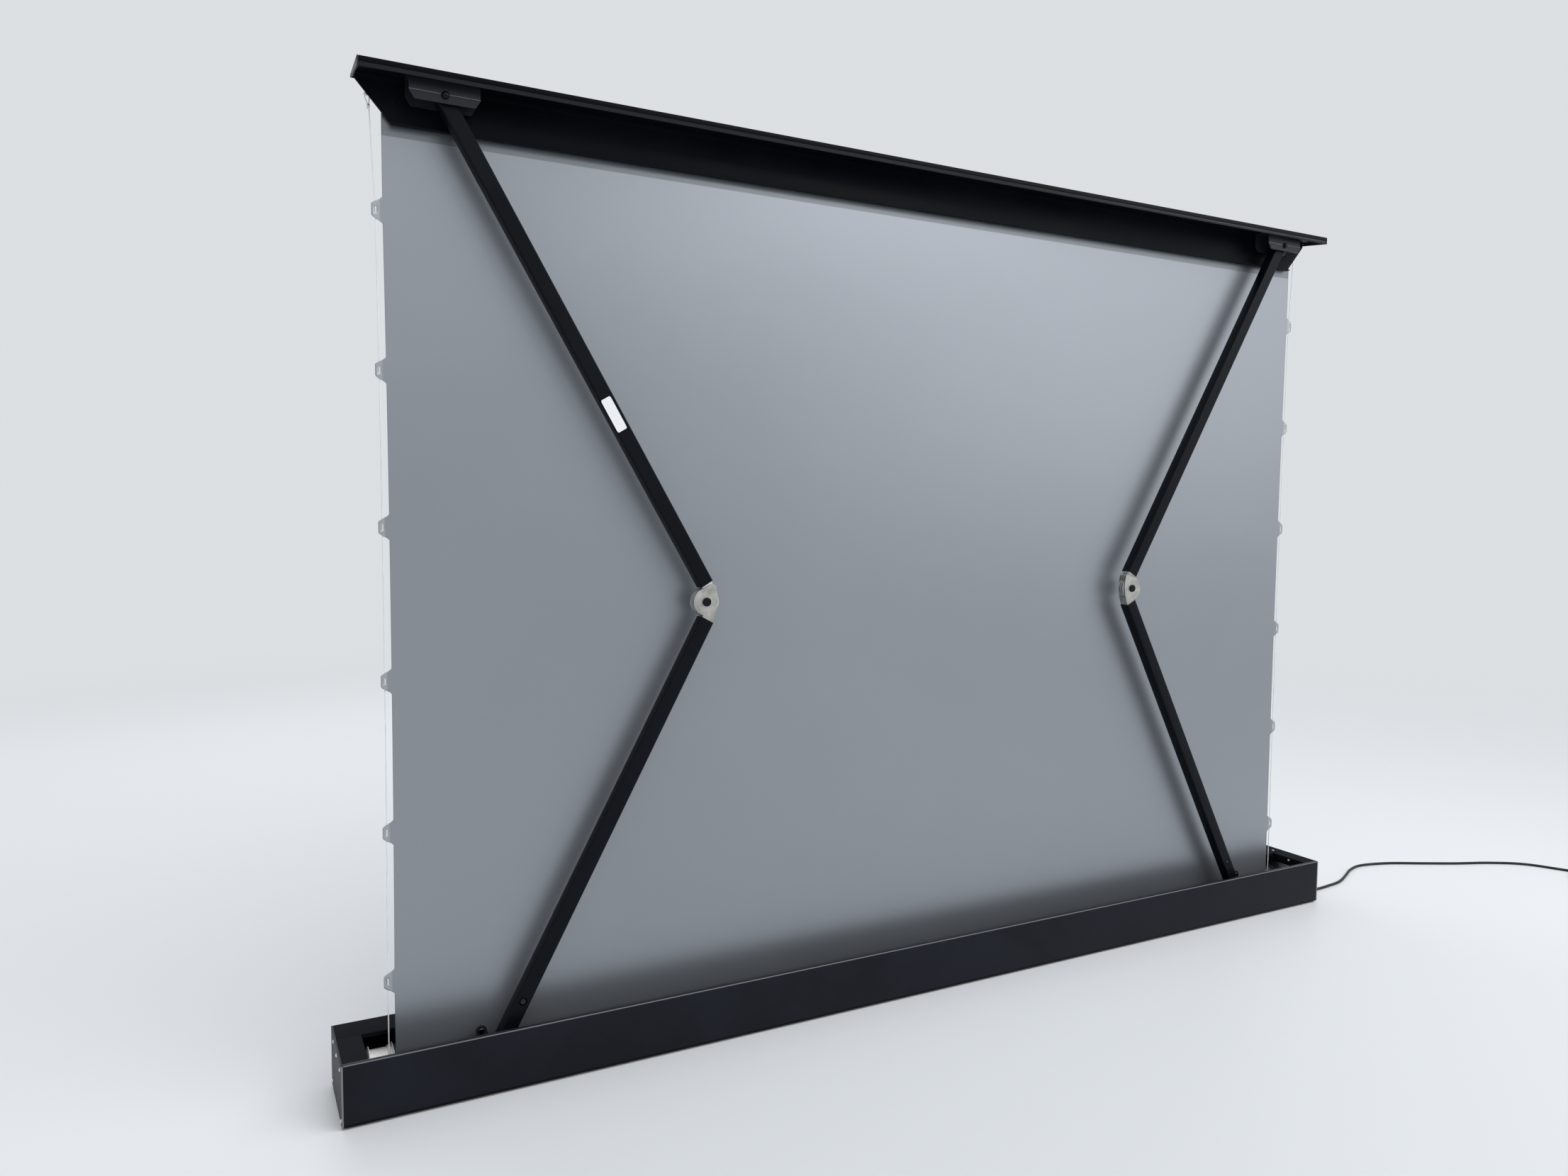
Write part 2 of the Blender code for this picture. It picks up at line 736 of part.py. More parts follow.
def upper_frame(sign):
    """Along runs from the lid pivot to the knee, and across points to the knee pin's side."""
    cosine, sine = math.cos(upper_arm_angle), math.sin(upper_arm_angle)
    return arm_frame((sign * top_pivot_x, top_pivot_z), (-sign * cosine, -sine), (sign * sine, -cosine))


def build_arm_tube(name, place, length, pin_play, material, body):
    """A rectangular tube with a pin hole at its far end, open at the knee end."""
    half_w, half_d = arm_width / 2, arm_depth / 2
    outer = fillet([(-half_w, -half_d), (half_w, -half_d), (half_w, half_d), (-half_w, half_d)], arm_corner)
    inner_w, inner_d = half_w - arm_wall, half_d - arm_wall
    inner = fillet([(-inner_w, -inner_d), (inner_w, -inner_d), (inner_w, inner_d), (-inner_w, inner_d)],
                   arm_inner_corner)
    start, end = -arm_end_reach, length - arm_stop_short
    tube = bmesh.new()
    rings = []
    for outline in (outer, inner):
        for along in (start, end):
            ring = []
            for across, deep in outline:
                x, z = place(along, across)
                ring.append(tube.verts.new((x, arm_middle_y + deep, z)))
            rings.append(ring)
    outer_start, outer_end, inner_start, inner_end = rings
    for first, second in ((outer_start, outer_end), (inner_end, inner_start), (inner_start, outer_start),
                          (outer_end, inner_end)):
        join_rings(tube, first, second, len(outer))
    item = finish(tube, name, material, body)
    smooth(item)
    x, z = place(0, 0)
    cut(item, cutter(name + "_pin_cutter", circle(x, z, pivot_pin_radius + pin_play, 20), "y",
                     arm_front_y - cut_overrun, arm_rear_y + cut_overrun))
    return item


def knuckle_layer(index):
    """Front and rear y of one plate layer of the knee."""
    depth = arm_depth - 2 * arm_wall - 2 * seat_gap
    pitch = (depth + knuckle_plate_gap) / knuckle_layers
    front = arm_middle_y - depth / 2 + index * pitch
    return front, front + pitch - knuckle_plate_gap


def knuckle_stop(growth):
    """Tangent angle of the knee's round, and the corner where its line meets the stop's blunt end."""
    reach = knuckle_stop_reach + growth
    half = knuckle_stop_half + growth
    touch = math.acos((knuckle_radius + growth) / math.hypot(reach, half))
    return math.atan2(half, reach) + touch, (reach, half, knuckle_stop_round + growth)


def lower_knuckle_edge(start, half):
    """The round's outer side, the stop past the pin, and the long arc back to the tube's inner side."""
    tangent, corner = knuckle_stop(0)
    middle_x = -arm_stop_short
    middle_y = knuckle_belly_radius - knee_offset - half
    above = arc(0, 0, knuckle_radius, start, tangent, 10)
    end = -math.acos((knuckle_stop_reach - middle_x) / knuckle_belly_radius)
    belly = arc(middle_x, middle_y, knuckle_belly_radius, end, -math.pi / 2, 12)
    blunt = fillet([above[-1], corner, (*belly[0], knuckle_stop_round), belly[1]], 0)
    return above[:-1] + blunt + belly[2:]


def slot_edge():
    """Room for the lower arm's round and stop in the other arm's layers, and for the other's round."""
    tangent, corner = knuckle_stop(knuckle_slot_gap)
    radius = knuckle_radius + knuckle_slot_gap
    above = arc(0, 0, radius, math.pi, tangent, 12)
    below = arc(0, 0, radius, -tangent, -math.pi, 12)
    blunt = fillet([above[-1], corner, (corner[0], -corner[1], corner[2]), below[0]], 0)
    return above[:-1] + blunt + below[1:-1]


def build_knuckle(name, side, is_lower, own_layers, material, body):
    """Stacked plates on a tongue that sits in the tube; the other arm's plates run in the slots."""
    lower = lower_frame(SIDES[side])
    place = lower if is_lower else upper_frame(SIDES[side])
    length = lower_arm_length if is_lower else upper_arm_length
    half = arm_width / 2 - arm_wall - seat_gap
    tongue_start = length - arm_stop_short - knuckle_tongue
    start = math.pi + math.asin((knee_offset - half) / knuckle_radius)
    outline = [place(tongue_start, -half), place(tongue_start, half)]
    if is_lower:
        edge = lower_knuckle_edge(start, half)
    else:
        edge = arc(0, 0, knuckle_radius, start, knuckle_arc_end, 22)
        edge.append((-arm_stop_short, -knee_offset - half))
    for along, across in edge:
        outline.append(place(length + along, knee_offset + across))
    front = knuckle_layer(0)[0]
    rear = knuckle_layer(knuckle_layers - 1)[1]
    item = solid(name, outline, "y", front, rear, material, body)
    pin_x, pin_z = place(length, knee_offset)
    slot = []
    for along, across in slot_edge():
        slot.append(lower(lower_arm_length + along, knee_offset + across))
    tools = bmesh.new()
    for index in range(knuckle_layers):
        if index in own_layers:
            continue
        low, high = knuckle_layer(index)
        low = low - knuckle_plate_gap if index > 0 else low - cut_overrun
        high = high + knuckle_plate_gap if index < knuckle_layers - 1 else high + cut_overrun
        add_prism(tools, slot, "y", low, high)
    cut(item, as_tool(finish(tools, name + "_slot_cutter", None)))
    cut(item, cutter(name + "_pin_cutter", circle(pin_x, pin_z, knee_pin_radius + seat_gap, 24), "y",
                     front - cut_overrun, rear + cut_overrun))
    return item


def build_knee_pin(name, sign, material, body):
    front = knuckle_layer(0)[0] - seat_gap
    rear = knuckle_layer(knuckle_layers - 1)[1] + seat_gap
    pin = bmesh.new()
    add_turned(pin, [
        (front - knee_cap_height, 0), (front - knee_cap_height, knee_cap_radius * knee_cap_share),
        (front - knee_cap_height * knee_cap_share, knee_cap_radius), (front, knee_cap_radius),
        (front, knee_pin_radius), (rear, knee_pin_radius), (rear, knee_cap_radius),
        (rear + knee_cap_height * knee_cap_share, knee_cap_radius),
        (rear + knee_cap_height, knee_cap_radius * knee_cap_share), (rear + knee_cap_height, 0),
    ], "y", (sign * knee_x, 0, knee_z), 24)
    smooth(finish(pin, name, material, body))


def build_pivot(name, x, z, rear_plate, front_plate, dome, material, body):
    """A headed pin through both plates and the arm between them."""
    head_y = rear_plate + seat_gap
    tail_y = front_plate - seat_gap
    if dome:
        head = [(head_y + dome_height * math.sin(angle), dome_radius * math.cos(angle))
                for angle in (0, math.pi / 6, math.pi / 3)]
        head.append((head_y + dome_height, 0))
    else:
        head = [(head_y, pivot_head_radius), (head_y + pivot_head_height, pivot_head_radius),
                (head_y + pivot_head_height, 0)]
    pin = bmesh.new()
    add_turned(pin, [
        (tail_y - pivot_head_height, 0), (tail_y - pivot_head_height, pivot_head_radius),
        (tail_y, pivot_head_radius), (tail_y, pivot_pin_radius), (head_y, pivot_pin_radius), *head,
    ], "y", (x, 0, z), 20)
    smooth(finish(pin, name, material, body))


def join_bosses(item, side, label, x, z, rear_plate, front_plate, wall):
    """Round pads on the inner faces of two plates, which the arm runs between."""
    for end, low, high in (("rear", arm_rear_y + seat_gap, rear_plate - wall / 2),
                           ("front", front_plate + wall / 2, arm_front_y - seat_gap)):
        shape = circle(x, z, washer_radius, 24)
        join(item, cutter(side + "_" + label + "_" + end + "_boss", shape, "y", low, high))


def build_anchor_bolt(side, place, materials, body):
    """A hexagon bolt that sits in a round hole of the lower arm and holds the lift spring's end."""
    x, z = place(anchor_bolt_place, 0)
    floor = arm_rear_y - arm_wall - anchor_bolt_head_height
    inner_front = arm_front_y + arm_wall + seat_gap
    bolt = bmesh.new()
    head = circle(x, z, anchor_bolt_radius, 6)
    add_prism(bolt, head, "y", floor, floor + anchor_bolt_head_height + arm_wall)
    item = finish(bolt, side + "_anchor_bolt", materials["bracket"], body)
    join(item, cutter(side + "_anchor_shank", circle(x, z, anchor_bolt_shank, 12), "y", inner_front,
                      floor + anchor_bolt_head_height / 2))


def build_spring(side, place, materials, body):
    """The lift spring in the lower arm, as a closed sleeve of its coils' size."""
    start = anchor_bolt_place + anchor_bolt_radius + seat_gap
    spring = bmesh.new()
    inner = spring_radius - spring_wire
    rings = []
    for radius in (spring_radius, inner):
        for along in (start, start + spring_length):
            ring = []
            for step in range(16):
                angle = 2 * math.pi * step / 16
                x, z = place(along, radius * math.cos(angle))
                ring.append(spring.verts.new((x, arm_middle_y + radius * math.sin(angle), z)))
            rings.append(ring)
    for first, second in ((0, 1), (3, 2), (2, 0), (1, 3)):
        join_rings(spring, rings[first], rings[second], 16)
    smooth(finish(spring, side + "_lift_spring", materials["spring"], body))


def build_base_bracket(side, sign, materials):
    """Floor plate with two ears for the casing pivot; the front ear rises to a rounded lug with a bolt."""
    floor = floor_top + seat_gap
    shoulder = floor + ear_shoulder
    x, z = lower_pivot_x, lower_pivot_z
    left, right = x - ear_foot_half, x + ear_foot_half
    ear_arc = arc(x, z, ear_radius, ear_arc_start, ear_arc_end, 9)
    rear_shape = [(right, floor), (right, shoulder), *ear_arc, (left, shoulder), (left, floor)]
    lug = arc(lug_x, lug_z, lug_radius, 0, math.pi, 9)
    front_shape = [(right, floor), (right, shoulder), (x + ear_radius + bracket_floor, z), *lug,
                   (x - ear_radius, z), (left, shoulder), (left, floor)]
    rear_face = rear_ear_y + ear_thickness
    floor_shape = [
        (left, floor), (right, floor), (right, floor + bracket_floor), (left, floor + bracket_floor),
    ]
    item = solid(side + "_arm_bracket", mirrored(floor_shape, sign), "y", front_ear_y, rear_face,
                 materials["bracket"])
    for label, shape, low in (("rear", rear_shape, rear_ear_y), ("front", front_shape, front_ear_y)):
        join(item, cutter(side + "_" + label + "_ear", mirrored(shape, sign), "y", low,
                          low + ear_thickness))
    join_bosses(item, side, "base", sign * x, z, rear_face, front_ear_y, ear_thickness)
    pin_hole = circle(sign * x, z, pivot_pin_radius + seat_gap, 20)
    cut(item, cutter(side + "_bracket_pin_cutter", pin_hole, "y", front_ear_y - cut_overrun,
                     rear_face + cut_overrun))
    lug_hole = circle(sign * lug_x, lug_z, lug_bolt_shank + seat_gap, 16)
    cut(item, cutter(side + "_lug_cutter", lug_hole, "y", front_ear_y - cut_overrun,
                     front_ear_y + ear_thickness + cut_overrun))
    seat = front_ear_y + ear_thickness + seat_gap
    bolt = bmesh.new()
    add_turned(bolt, [
        (front_ear_y + seat_gap, 0), (front_ear_y + seat_gap, lug_bolt_shank), (seat, lug_bolt_shank),
        (seat, lug_bolt_radius), (seat + lug_bolt_head * lug_head_edge_share, lug_bolt_radius),
        (seat + lug_bolt_head, lug_bolt_radius * lug_head_top_share), (seat + lug_bolt_head, 0),
    ], "y", (sign * lug_x, 0, lug_z), 12)
    smooth(finish(bolt, side + "_lug_bolt", materials["zinc"]))


def build_arms(materials, bodies):
    for side, sign in SIDES.items():
        lower, upper = lower_frame(sign), upper_frame(sign)
        lower_body, upper_body = bodies[side + "_lower_arm"], bodies[side + "_upper_arm"]
        tube = build_arm_tube(side + "_lower_tube", lower, lower_arm_length, seat_gap, materials["arm"],
                              lower_body)
        x, z = lower(anchor_bolt_place, 0)
        cut(tube, cutter(side + "_anchor_hole_cutter", circle(x, z, anchor_hole_radius, 20), "y",
                         arm_rear_y - arm_wall - cut_overrun, arm_rear_y + cut_overrun))
        play = seat_gap if side == "right" else open_pivot_play
        build_arm_tube(side + "_upper_tube", upper, upper_arm_length, play, materials["arm"],
                       upper_body)
        even = [index for index in range(knuckle_layers) if index % 2 == 0]
        odd = [index for index in range(knuckle_layers) if index % 2 == 1]
        build_knuckle(side + "_lower_knuckle", side, True, even, materials["steel"], lower_body)
        build_knuckle(side + "_upper_knuckle", side, False, odd, materials["steel"], upper_body)
        build_knee_pin(side + "_knee_pin", sign, materials["plastic"], lower_body)
        build_anchor_bolt(side, lower, materials, lower_body)
        build_spring(side, lower, materials, lower_body)
        build_base_bracket(side, sign, materials)
        build_pivot(side + "_base_pivot", sign * lower_pivot_x, lower_pivot_z, rear_ear_y + ear_thickness,
                    front_ear_y, False, materials["zinc"], None)


def build_lid(materials, lid):
    top = lid_top
    rear, front = lid_rear_y, lid_front_y
    wall = lid_wall
    groove_top = top - lid_groove_drop
    outline = fillet([
        (rear, top, outer_round), (rear, groove_top, 0), (rear - lid_groove_depth, groove_top, 0),
        (rear - lid_groove_depth, groove_top - lid_groove_height, 0),
        (rear, groove_top - lid_groove_height, 0), (rear, top - lid_lip, edge_round),
        (rear - wall, top - lid_lip, edge_round), (rear - wall, top - wall, 0),
        (front + wall, top - wall, 0), (front + wall, top - lid_front_lip, edge_round),
        (front, top - lid_front_lip, edge_round), (front, top, outer_round),
    ], 0)
    inner_half = lid_half_length - lid_cap_thickness - seat_gap
    solid("lid_profile", outline, "x", -inner_half, inner_half, materials["casing"], lid)
    for side, sign in SIDES.items():
        near = sign * (lid_half_length - lid_cap_thickness)
        far = sign * lid_half_length
        cap = fillet([(rear, top), (rear, top - lid_lip), (front, top - lid_front_lip), (front, top)],
                     outer_round)
        solid(side + "_lid_cap", cap, "x", min(near, far), max(near, far), materials["grey"], lid)
        build_lid_bracket(side, sign, materials, lid)
        build_pivot(side + "_lid_pivot", sign * top_pivot_x, top_pivot_z, lid_bracket_rear_y,
                    lid_bracket_front_y, True, materials["bracket"], lid)


def build_lid_bracket(side, sign, materials, lid):
    """An upturned channel under the lid that holds the upper arm's end."""
    top = lid_top - lid_wall - seat_gap
    bottom = lid_top - lid_bracket_drop
    step = lid_top - lid_bracket_step_drop
    rear = lid_bracket_rear_y
    front = lid_bracket_front_y
    wall = lid_bracket_wall
    outline = [
        (rear - lid_bracket_step, top), (rear - lid_bracket_step, step),
        (rear, step - lid_bracket_step), (rear, bottom), (rear - wall, bottom), (rear - wall, top - wall),
        (front + wall, top - wall), (front + wall, bottom), (front, bottom), (front, top),
    ]
    half = lid_bracket_width / 2
    middle = sign * top_pivot_x
    item = solid(side + "_lid_bracket", outline, "x", middle - half, middle + half,
                 materials["bracket"], lid)
    chamfer = lid_bracket_chamfer
    slope_top = step - 2 * lid_bracket_step
    for label, direction in (("inner", -1), ("outer", 1)):
        edge = middle + direction * half
        shape = [
            (edge + direction * cut_overrun, slope_top), (edge, slope_top),
            (edge - direction * chamfer, bottom - cut_overrun),
            (edge + direction * cut_overrun, bottom - cut_overrun),
        ]
        cut(item, cutter(side + "_" + label + "_chamfer_cutter", shape, "y", front - cut_overrun,
                         rear + cut_overrun))
    join_bosses(item, side, "lid", middle, top_pivot_z, rear, front, wall)
    cut(item, cutter(side + "_lid_pin_cutter",
                     circle(middle, top_pivot_z, pivot_pin_radius + seat_gap, 20), "y",
                     front - cut_overrun, rear + cut_overrun))


def build_fabric_bar(materials, lid):
    top = lid_top - lid_wall - seat_gap
    rear = bar_rear_y
    wall = bar_wall
    bottom = bar_bottom
    outline = fillet([
        (rear - wall, top, 0), (rear + bar_flange, top, 0), (rear + bar_flange, top - wall, 0),
        (rear, top - wall, 0), (rear, bottom + wall, 0), (rear + bar_return, bottom + wall, edge_round),
        (rear + bar_return, bottom, edge_round), (rear - wall, bottom, outer_round),
    ], 0)
    bar = solid("fabric_bar", outline, "x", -bar_half_length, bar_half_length, materials["casing"], lid)
    slope_start = lid_top - bar_end_slope_top
    for side, sign in SIDES.items():
        shape = mirrored([
            (bar_half_length + cut_overrun, slope_start), (bar_half_length, slope_start),
            (bar_half_length - bar_end_slope_run, bottom - cut_overrun),
            (bar_half_length + cut_overrun, bottom - cut_overrun),
        ], sign)
        cut(bar, cutter(side + "_bar_end_cutter", shape, "y", rear - wall - cut_overrun,
                        rear + bar_flange + cut_overrun))
        hole = circle(sign * (bar_half_length - bar_hole_inset), lid_top - bar_hole_drop,
                      bar_hole_radius, 16)
        cut(bar, cutter(side + "_bar_hole_cutter", hole, "y", rear - wall - cut_overrun,
                        rear + cut_overrun))
    clamp_rear = rear - wall - seat_gap
    slot = fabric_thickness / 2 + seat_gap
    clamp_bottom = clamp_top - clamp_height
    slot_top = clamp_bottom + clamp_grip + seat_gap
    clamp = [
        (clamp_rear, clamp_top), (clamp_rear, clamp_bottom), (fabric_plane_y + slot, clamp_bottom),
        (fabric_plane_y + slot, slot_top), (fabric_plane_y - slot, slot_top),
        (fabric_plane_y - slot, clamp_bottom),
        (clamp_front_y, clamp_bottom), (clamp_front_y, clamp_top),
    ]
    clamp_half = fabric_half_width
    solid("fabric_clamp", clamp, "x", -clamp_half, clamp_half, materials["casing"], lid)
    for side, sign in SIDES.items():
        peg = circle(sign * anchor_peg_x, lid_top - anchor_peg_drop, anchor_peg_radius, 16)
        smooth(solid(side + "_cord_peg", peg, "y", cord_y - tension_cord_radius, rear - wall - seat_gap,
                     materials["zinc"], lid))


def cord_line(height):
    """Distance of a tension cord from the middle of the screen at a height: it bows in between its ends."""
    reach = (highest_tab_height - lowest_tab_height) / 2
    share = min(1.0, abs(height - tab_middle_height) / reach)
    return fabric_half_width + cord_line_offset - cord_bow * (1 - share * share)


def fabric_edge():
    """The right edge of the fabric from bottom to top, with its row of tabs, as (x, z)."""
    edge = [(fabric_half_width, roller_height)]
    shoulder = (tab_height - tab_flat) / 2
    shoulder_steps = 4
    for index in range(tab_count):
        middle = lowest_tab_height + index * tab_pitch
        for side in (-1, 1):
            shape = []
            for step in range(shoulder_steps + 1):
                share = step / shoulder_steps
                rise = tab_reach * (0.5 - 0.5 * math.cos(math.pi * share))
                height = middle - tab_height / 2 + shoulder * share
                if side > 0:
                    height = 2 * middle - height
                shape.append((cord_line(height) - cord_line_offset + rise, height))
            edge += shape if side < 0 else shape[::-1]
    edge.append((fabric_half_width, fabric_top))
    return edge


def build_fabric(materials):
    right = fabric_edge()
    left = [(-x, z) for x, z in reversed(right)]
    front = fabric_plane_y - fabric_thickness / 2
    rear = fabric_plane_y + fabric_thickness / 2
    sheet = solid("screen_fabric", right + left, "y", front, rear, materials["fabric"])
    slots = bmesh.new()
    half_w, half_h = tab_slot_width / 2, tab_slot_height / 2
    for index in range(tab_count):
        middle = lowest_tab_height + index * tab_pitch
        for sign in SIDES.values():
            x = sign * cord_line(middle)
            add_prism(slots, [(x - half_w, middle - half_h), (x + half_w, middle - half_h),
                              (x + half_w, middle + half_h), (x - half_w, middle + half_h)], "y",
                      front - cut_overrun, rear + cut_overrun)
    cut(sheet, as_tool(finish(slots, "tab_slot_cutter", None)))


def tube_along(name, points, radius, resolution, material):
    """A closed round cord on a chain of points."""
    curve = bpy.data.curves.new(name, "CURVE")
    curve.dimensions = "3D"
    curve.bevel_depth = radius
    curve.bevel_resolution = resolution
    curve.use_fill_caps = True
    spline = curve.splines.new("POLY")
    spline.points.add(len(points) - 1)
    for point, place in zip(spline.points, points):
        point.co = (*place, 1.0)
    item = bpy.data.objects.new(name, curve)
    bpy.context.collection.objects.link(item)
    curve.materials.append(material)
    return item


def build_tension_cords(materials):
    top = lid_top - anchor_peg_drop
    steps = 12
    for side, sign in SIDES.items():
        start_x = anchor_peg_x - anchor_peg_radius - seat_gap - tension_cord_radius
        points = [(sign * start_x, cord_y, top)]
        for step in range(steps + 1):
            height = highest_tab_height - (highest_tab_height - lowest_tab_height) * step / steps
            points.append((sign * cord_line(height), cord_y, height))
        points.append((sign * cord_line(roller_height), cord_y, roller_height))
        tube_along(side + "_tension_cord", points, tension_cord_radius, 2, materials["cord"])


def smooth_chain(knots, spacing):
    """Points read at an even spacing from a smooth curve through the knots."""
    dense = []
    for index in range(len(knots) - 1):
        before = knots[max(index - 1, 0)]
        here, after = knots[index], knots[index + 1]
        beyond = knots[min(index + 2, len(knots) - 1)]
        for step in range(16):
            share = step / 16
            dense.append(
                0.5 * (2 * here + (after - before) * share
                       + (2 * before - 5 * here + 4 * after - beyond) * share ** 2
                       + (3 * here - before - 3 * after + beyond) * share ** 3))
    dense.append(knots[-1])
    lengths = [0.0]
    for here, after in zip(dense, dense[1:]):
        lengths.append(lengths[-1] + (after - here).length)
    count = max(2, round(lengths[-1] / spacing))
    chain = []
    index = 0
    for step in range(count + 1):
        target = lengths[-1] * step / count
        while index < len(dense) - 2 and lengths[index + 1] < target:
            index += 1
        share = (target - lengths[index]) / (lengths[index + 1] - lengths[index])
        chain.append(dense[index].lerp(dense[index + 1], share))
    return chain


def coil_points():
    """Two layers of turns: the lower spirals in, climbs in the half turn where it reverses, and the
    upper spirals out again, a step apart."""
    turns = coil_turns_per_layer
    outer = coil_middle_radius + coil_step * turns / 2
    lower_z = cord_radius + coil_lift
    points = []
    for step in range(2 * turns * coil_points_per_turn + 1):
        turn = step / coil_points_per_turn
        radius = outer - coil_step * min(turn, 2 * turns - turn)
        climb = min(1.0, max(0.0, 2 * (turn - turns) + 0.5))
        height = lower_z + coil_step * (0.5 - 0.5 * math.cos(math.pi * climb))
        angle = coil_start_angle - 2 * math.pi * turn
        points.append(Vector((coil_x + radius * math.cos(angle), coil_y + radius * math.sin(angle),
                              height)))
    leaving = (points[-1] - points[-2]).normalized()
    end = points[-1].copy()
    steps = 8
    for step in range(1, steps + 1):
        share = step / steps
        drop = (plug_height / 2 - end.z) * (0.5 - 0.5 * math.cos(math.pi * share))
        points.append(end + leaving * (coil_tail * share) + Vector((0, 0, drop)))
    return points


def report_coil_gap(points):
    """Prints the least clear gap between turns of the coil, measured on its points."""
    least = min(
        (points[first] - points[second]).length - 2 * cord_radius
        for first in range(len(points))
        for second in range(first + coil_points_per_turn // 2, len(points))
    )
    print("least gap between the coil's turns: %.2f mm" % (least / MM))


def build_power_cord(materials):
    outer = -half_length
    gland = bmesh.new()
    bore = cord_radius + gland_bore_gap
    add_turned(gland, [
        (-seat_gap, bore), (-seat_gap, gland_flange_radius), (-gland_flange_length, gland_flange_radius),
        (-gland_flange_length, gland_root_radius), (-gland_length, bore + gland_tip_wall),
        (-gland_length, bore),
    ], "x", (outer, cord_exit_y, cord_exit_z), 20)
    smooth(finish(gland, "cable_gland", materials["rubber"]))

    coil = coil_points()
    report_coil_gap(coil)
    tube_along("power_cord_coil", coil, cord_radius, 1, materials["rubber"])

    knots = [Vector(point) * MM for point in cord_route]
    into_coil = (coil[1] - coil[0]).normalized()
    knots.append(coil[0] - into_coil * coil_middle_radius)
    knots.append(coil[0] - into_coil * seat_gap)
    tube_along("power_cord", smooth_chain(knots, cord_point_spacing), cord_radius, 2, materials["rubber"])

    build_tie(materials)
    away = coil[-1] - coil[-2]
    away.z = 0
    build_plug(materials, coil[-1], away.normalized())


def build_tie(materials):
    """A strap round the section of the coil."""
    turns = coil_turns_per_layer
    half_across = coil_step * turns / 2 + cord_radius + seat_gap
    low = coil_lift - seat_gap - tie_thickness
    high = coil_lift + 2 * cord_radius + coil_step + seat_gap
    corner = cord_radius
    inner = fillet([(-half_across, low + tie_thickness), (half_across, low + tie_thickness),
                    (half_across, high), (-half_across, high)], corner, 4)
    wide = half_across + tie_thickness
    outer = fillet([(-wide, low), (wide, low), (wide, high + tie_thickness), (-wide, high + tie_thickness)],
                   corner + tie_thickness, 4)
    across = Vector((math.cos(tie_angle), math.sin(tie_angle), 0))
    along = Vector((-math.sin(tie_angle), math.cos(tie_angle), 0))
    middle = Vector((coil_x, coil_y, 0)) + across * coil_middle_radius
    strap = bmesh.new()
    rings = []
    for outline in (outer, inner):
        for shift in (-tie_width / 2, tie_width / 2):
            rings.append([strap.verts.new(middle + across * a + along * shift + Vector((0, 0, b)))
                          for a, b in outline])
    for first, second in ((0, 1), (3, 2), (2, 0), (1, 3)):
        join_rings(strap, rings[first], rings[second], len(outer))
    smooth(finish(strap, "cord_tie", materials["rubber"]))


def build_plug(materials, end, direction):
    """A moulded two-pin plug on the cord's end, lying on the floor beside the coil."""
    side = Vector((-direction.y, direction.x, 0))
    sections = [
        (seat_gap, cord_radius + gland_bore_gap, cord_radius + gland_bore_gap),
        (plug_relief_length, plug_relief_radius, plug_relief_radius),
        (plug_relief_length, plug_width / 2 * plug_shoulder_share, plug_height / 2 * plug_shoulder_share),
        (plug_relief_length + plug_length * plug_swell_share, plug_width / 2, plug_height / 2),
        (plug_relief_length + plug_length * plug_taper_share, plug_width / 2, plug_height / 2),
        (plug_relief_length + plug_length, plug_width / 2 * plug_face_share,
         plug_height / 2 * plug_face_share),
    ]
    plug = bmesh.new()
    rings = []
    steps = 16
    for along, half_w, half_h in sections:
        centre = end + direction * along
        ring = []
        for step in range(steps):
            angle = 2 * math.pi * step / steps
            cosine, sine = math.cos(angle), math.sin(angle)
            reach = 1.0
            if half_w > plug_relief_radius:
                spread = abs(cosine) ** plug_squareness + abs(sine) ** plug_squareness
                reach = spread ** (-1 / plug_squareness)
            ring.append(plug.verts.new(centre + side * half_w * cosine * reach
                                       + Vector((0, 0, half_h * sine * reach))))
        rings.append(ring)
    for first, second in zip(rings, rings[1:]):
        join_rings(plug, first, second, steps)
    plug.faces.new(rings[0])
    plug.faces.new(list(reversed(rings[-1])))
    item = finish(plug, "power_plug", materials["rubber"])
    pins = bmesh.new()
    face = end + direction * (plug_relief_length + plug_length / 2)
    for sign in (-1, 1):
        rings = []
        for along in (0, plug_length / 2 + plug_pin_length):
            centre = face + side * (sign * plug_pin_spacing / 2) + direction * along
            rings.append([pins.verts.new(centre + side * across + Vector((0, 0, up)))
                          for across, up in circle(0, 0, plug_pin_radius, 12)])
        join_rings(pins, rings[0], rings[1], 12)
        pins.faces.new(rings[0])
        pins.faces.new(list(reversed(rings[1])))
    join(item, as_tool(finish(pins, "plug_pins_tool", None)))


def make_bodies():
    bodies = {"roller": joint_empty("roller_axis", 0, roller_y, roller_height)}
    for side, sign in SIDES.items():
        lower = joint_empty(side + "_lower_arm_axis", sign * lower_pivot_x, arm_middle_y, lower_pivot_z)
        bodies[side + "_lower_arm"] = lower
        bodies[side + "_upper_arm"] = joint_empty(side + "_knee_axis", sign * knee_x, arm_middle_y, knee_z,
                                                  lower)
    bodies["lid"] = joint_empty("lid_axis", top_pivot_x, arm_middle_y, top_pivot_z,
                                bodies["right_upper_arm"])
    return bodies


def main():
    clear_scene()
    materials = make_materials()
    bodies = make_bodies()
    build_casing(materials)
    build_end_caps(materials)
    build_roller(materials, bodies["roller"])
    build_roller_brackets(materials)
    build_control_box(materials)
    build_arms(materials, bodies)
    build_lid(materials, bodies["lid"])
    build_fabric_bar(materials, bodies["lid"])
    build_fabric(materials)
    build_tension_cords(materials)
    build_power_cord(materials)
    print("knee %.4f %.4f  top pivot %.4f %.4f  upper arm %.4f  lid top %.4f"
          % (knee_x, knee_z, top_pivot_x, top_pivot_z, upper_arm_length, lid_top))


main()
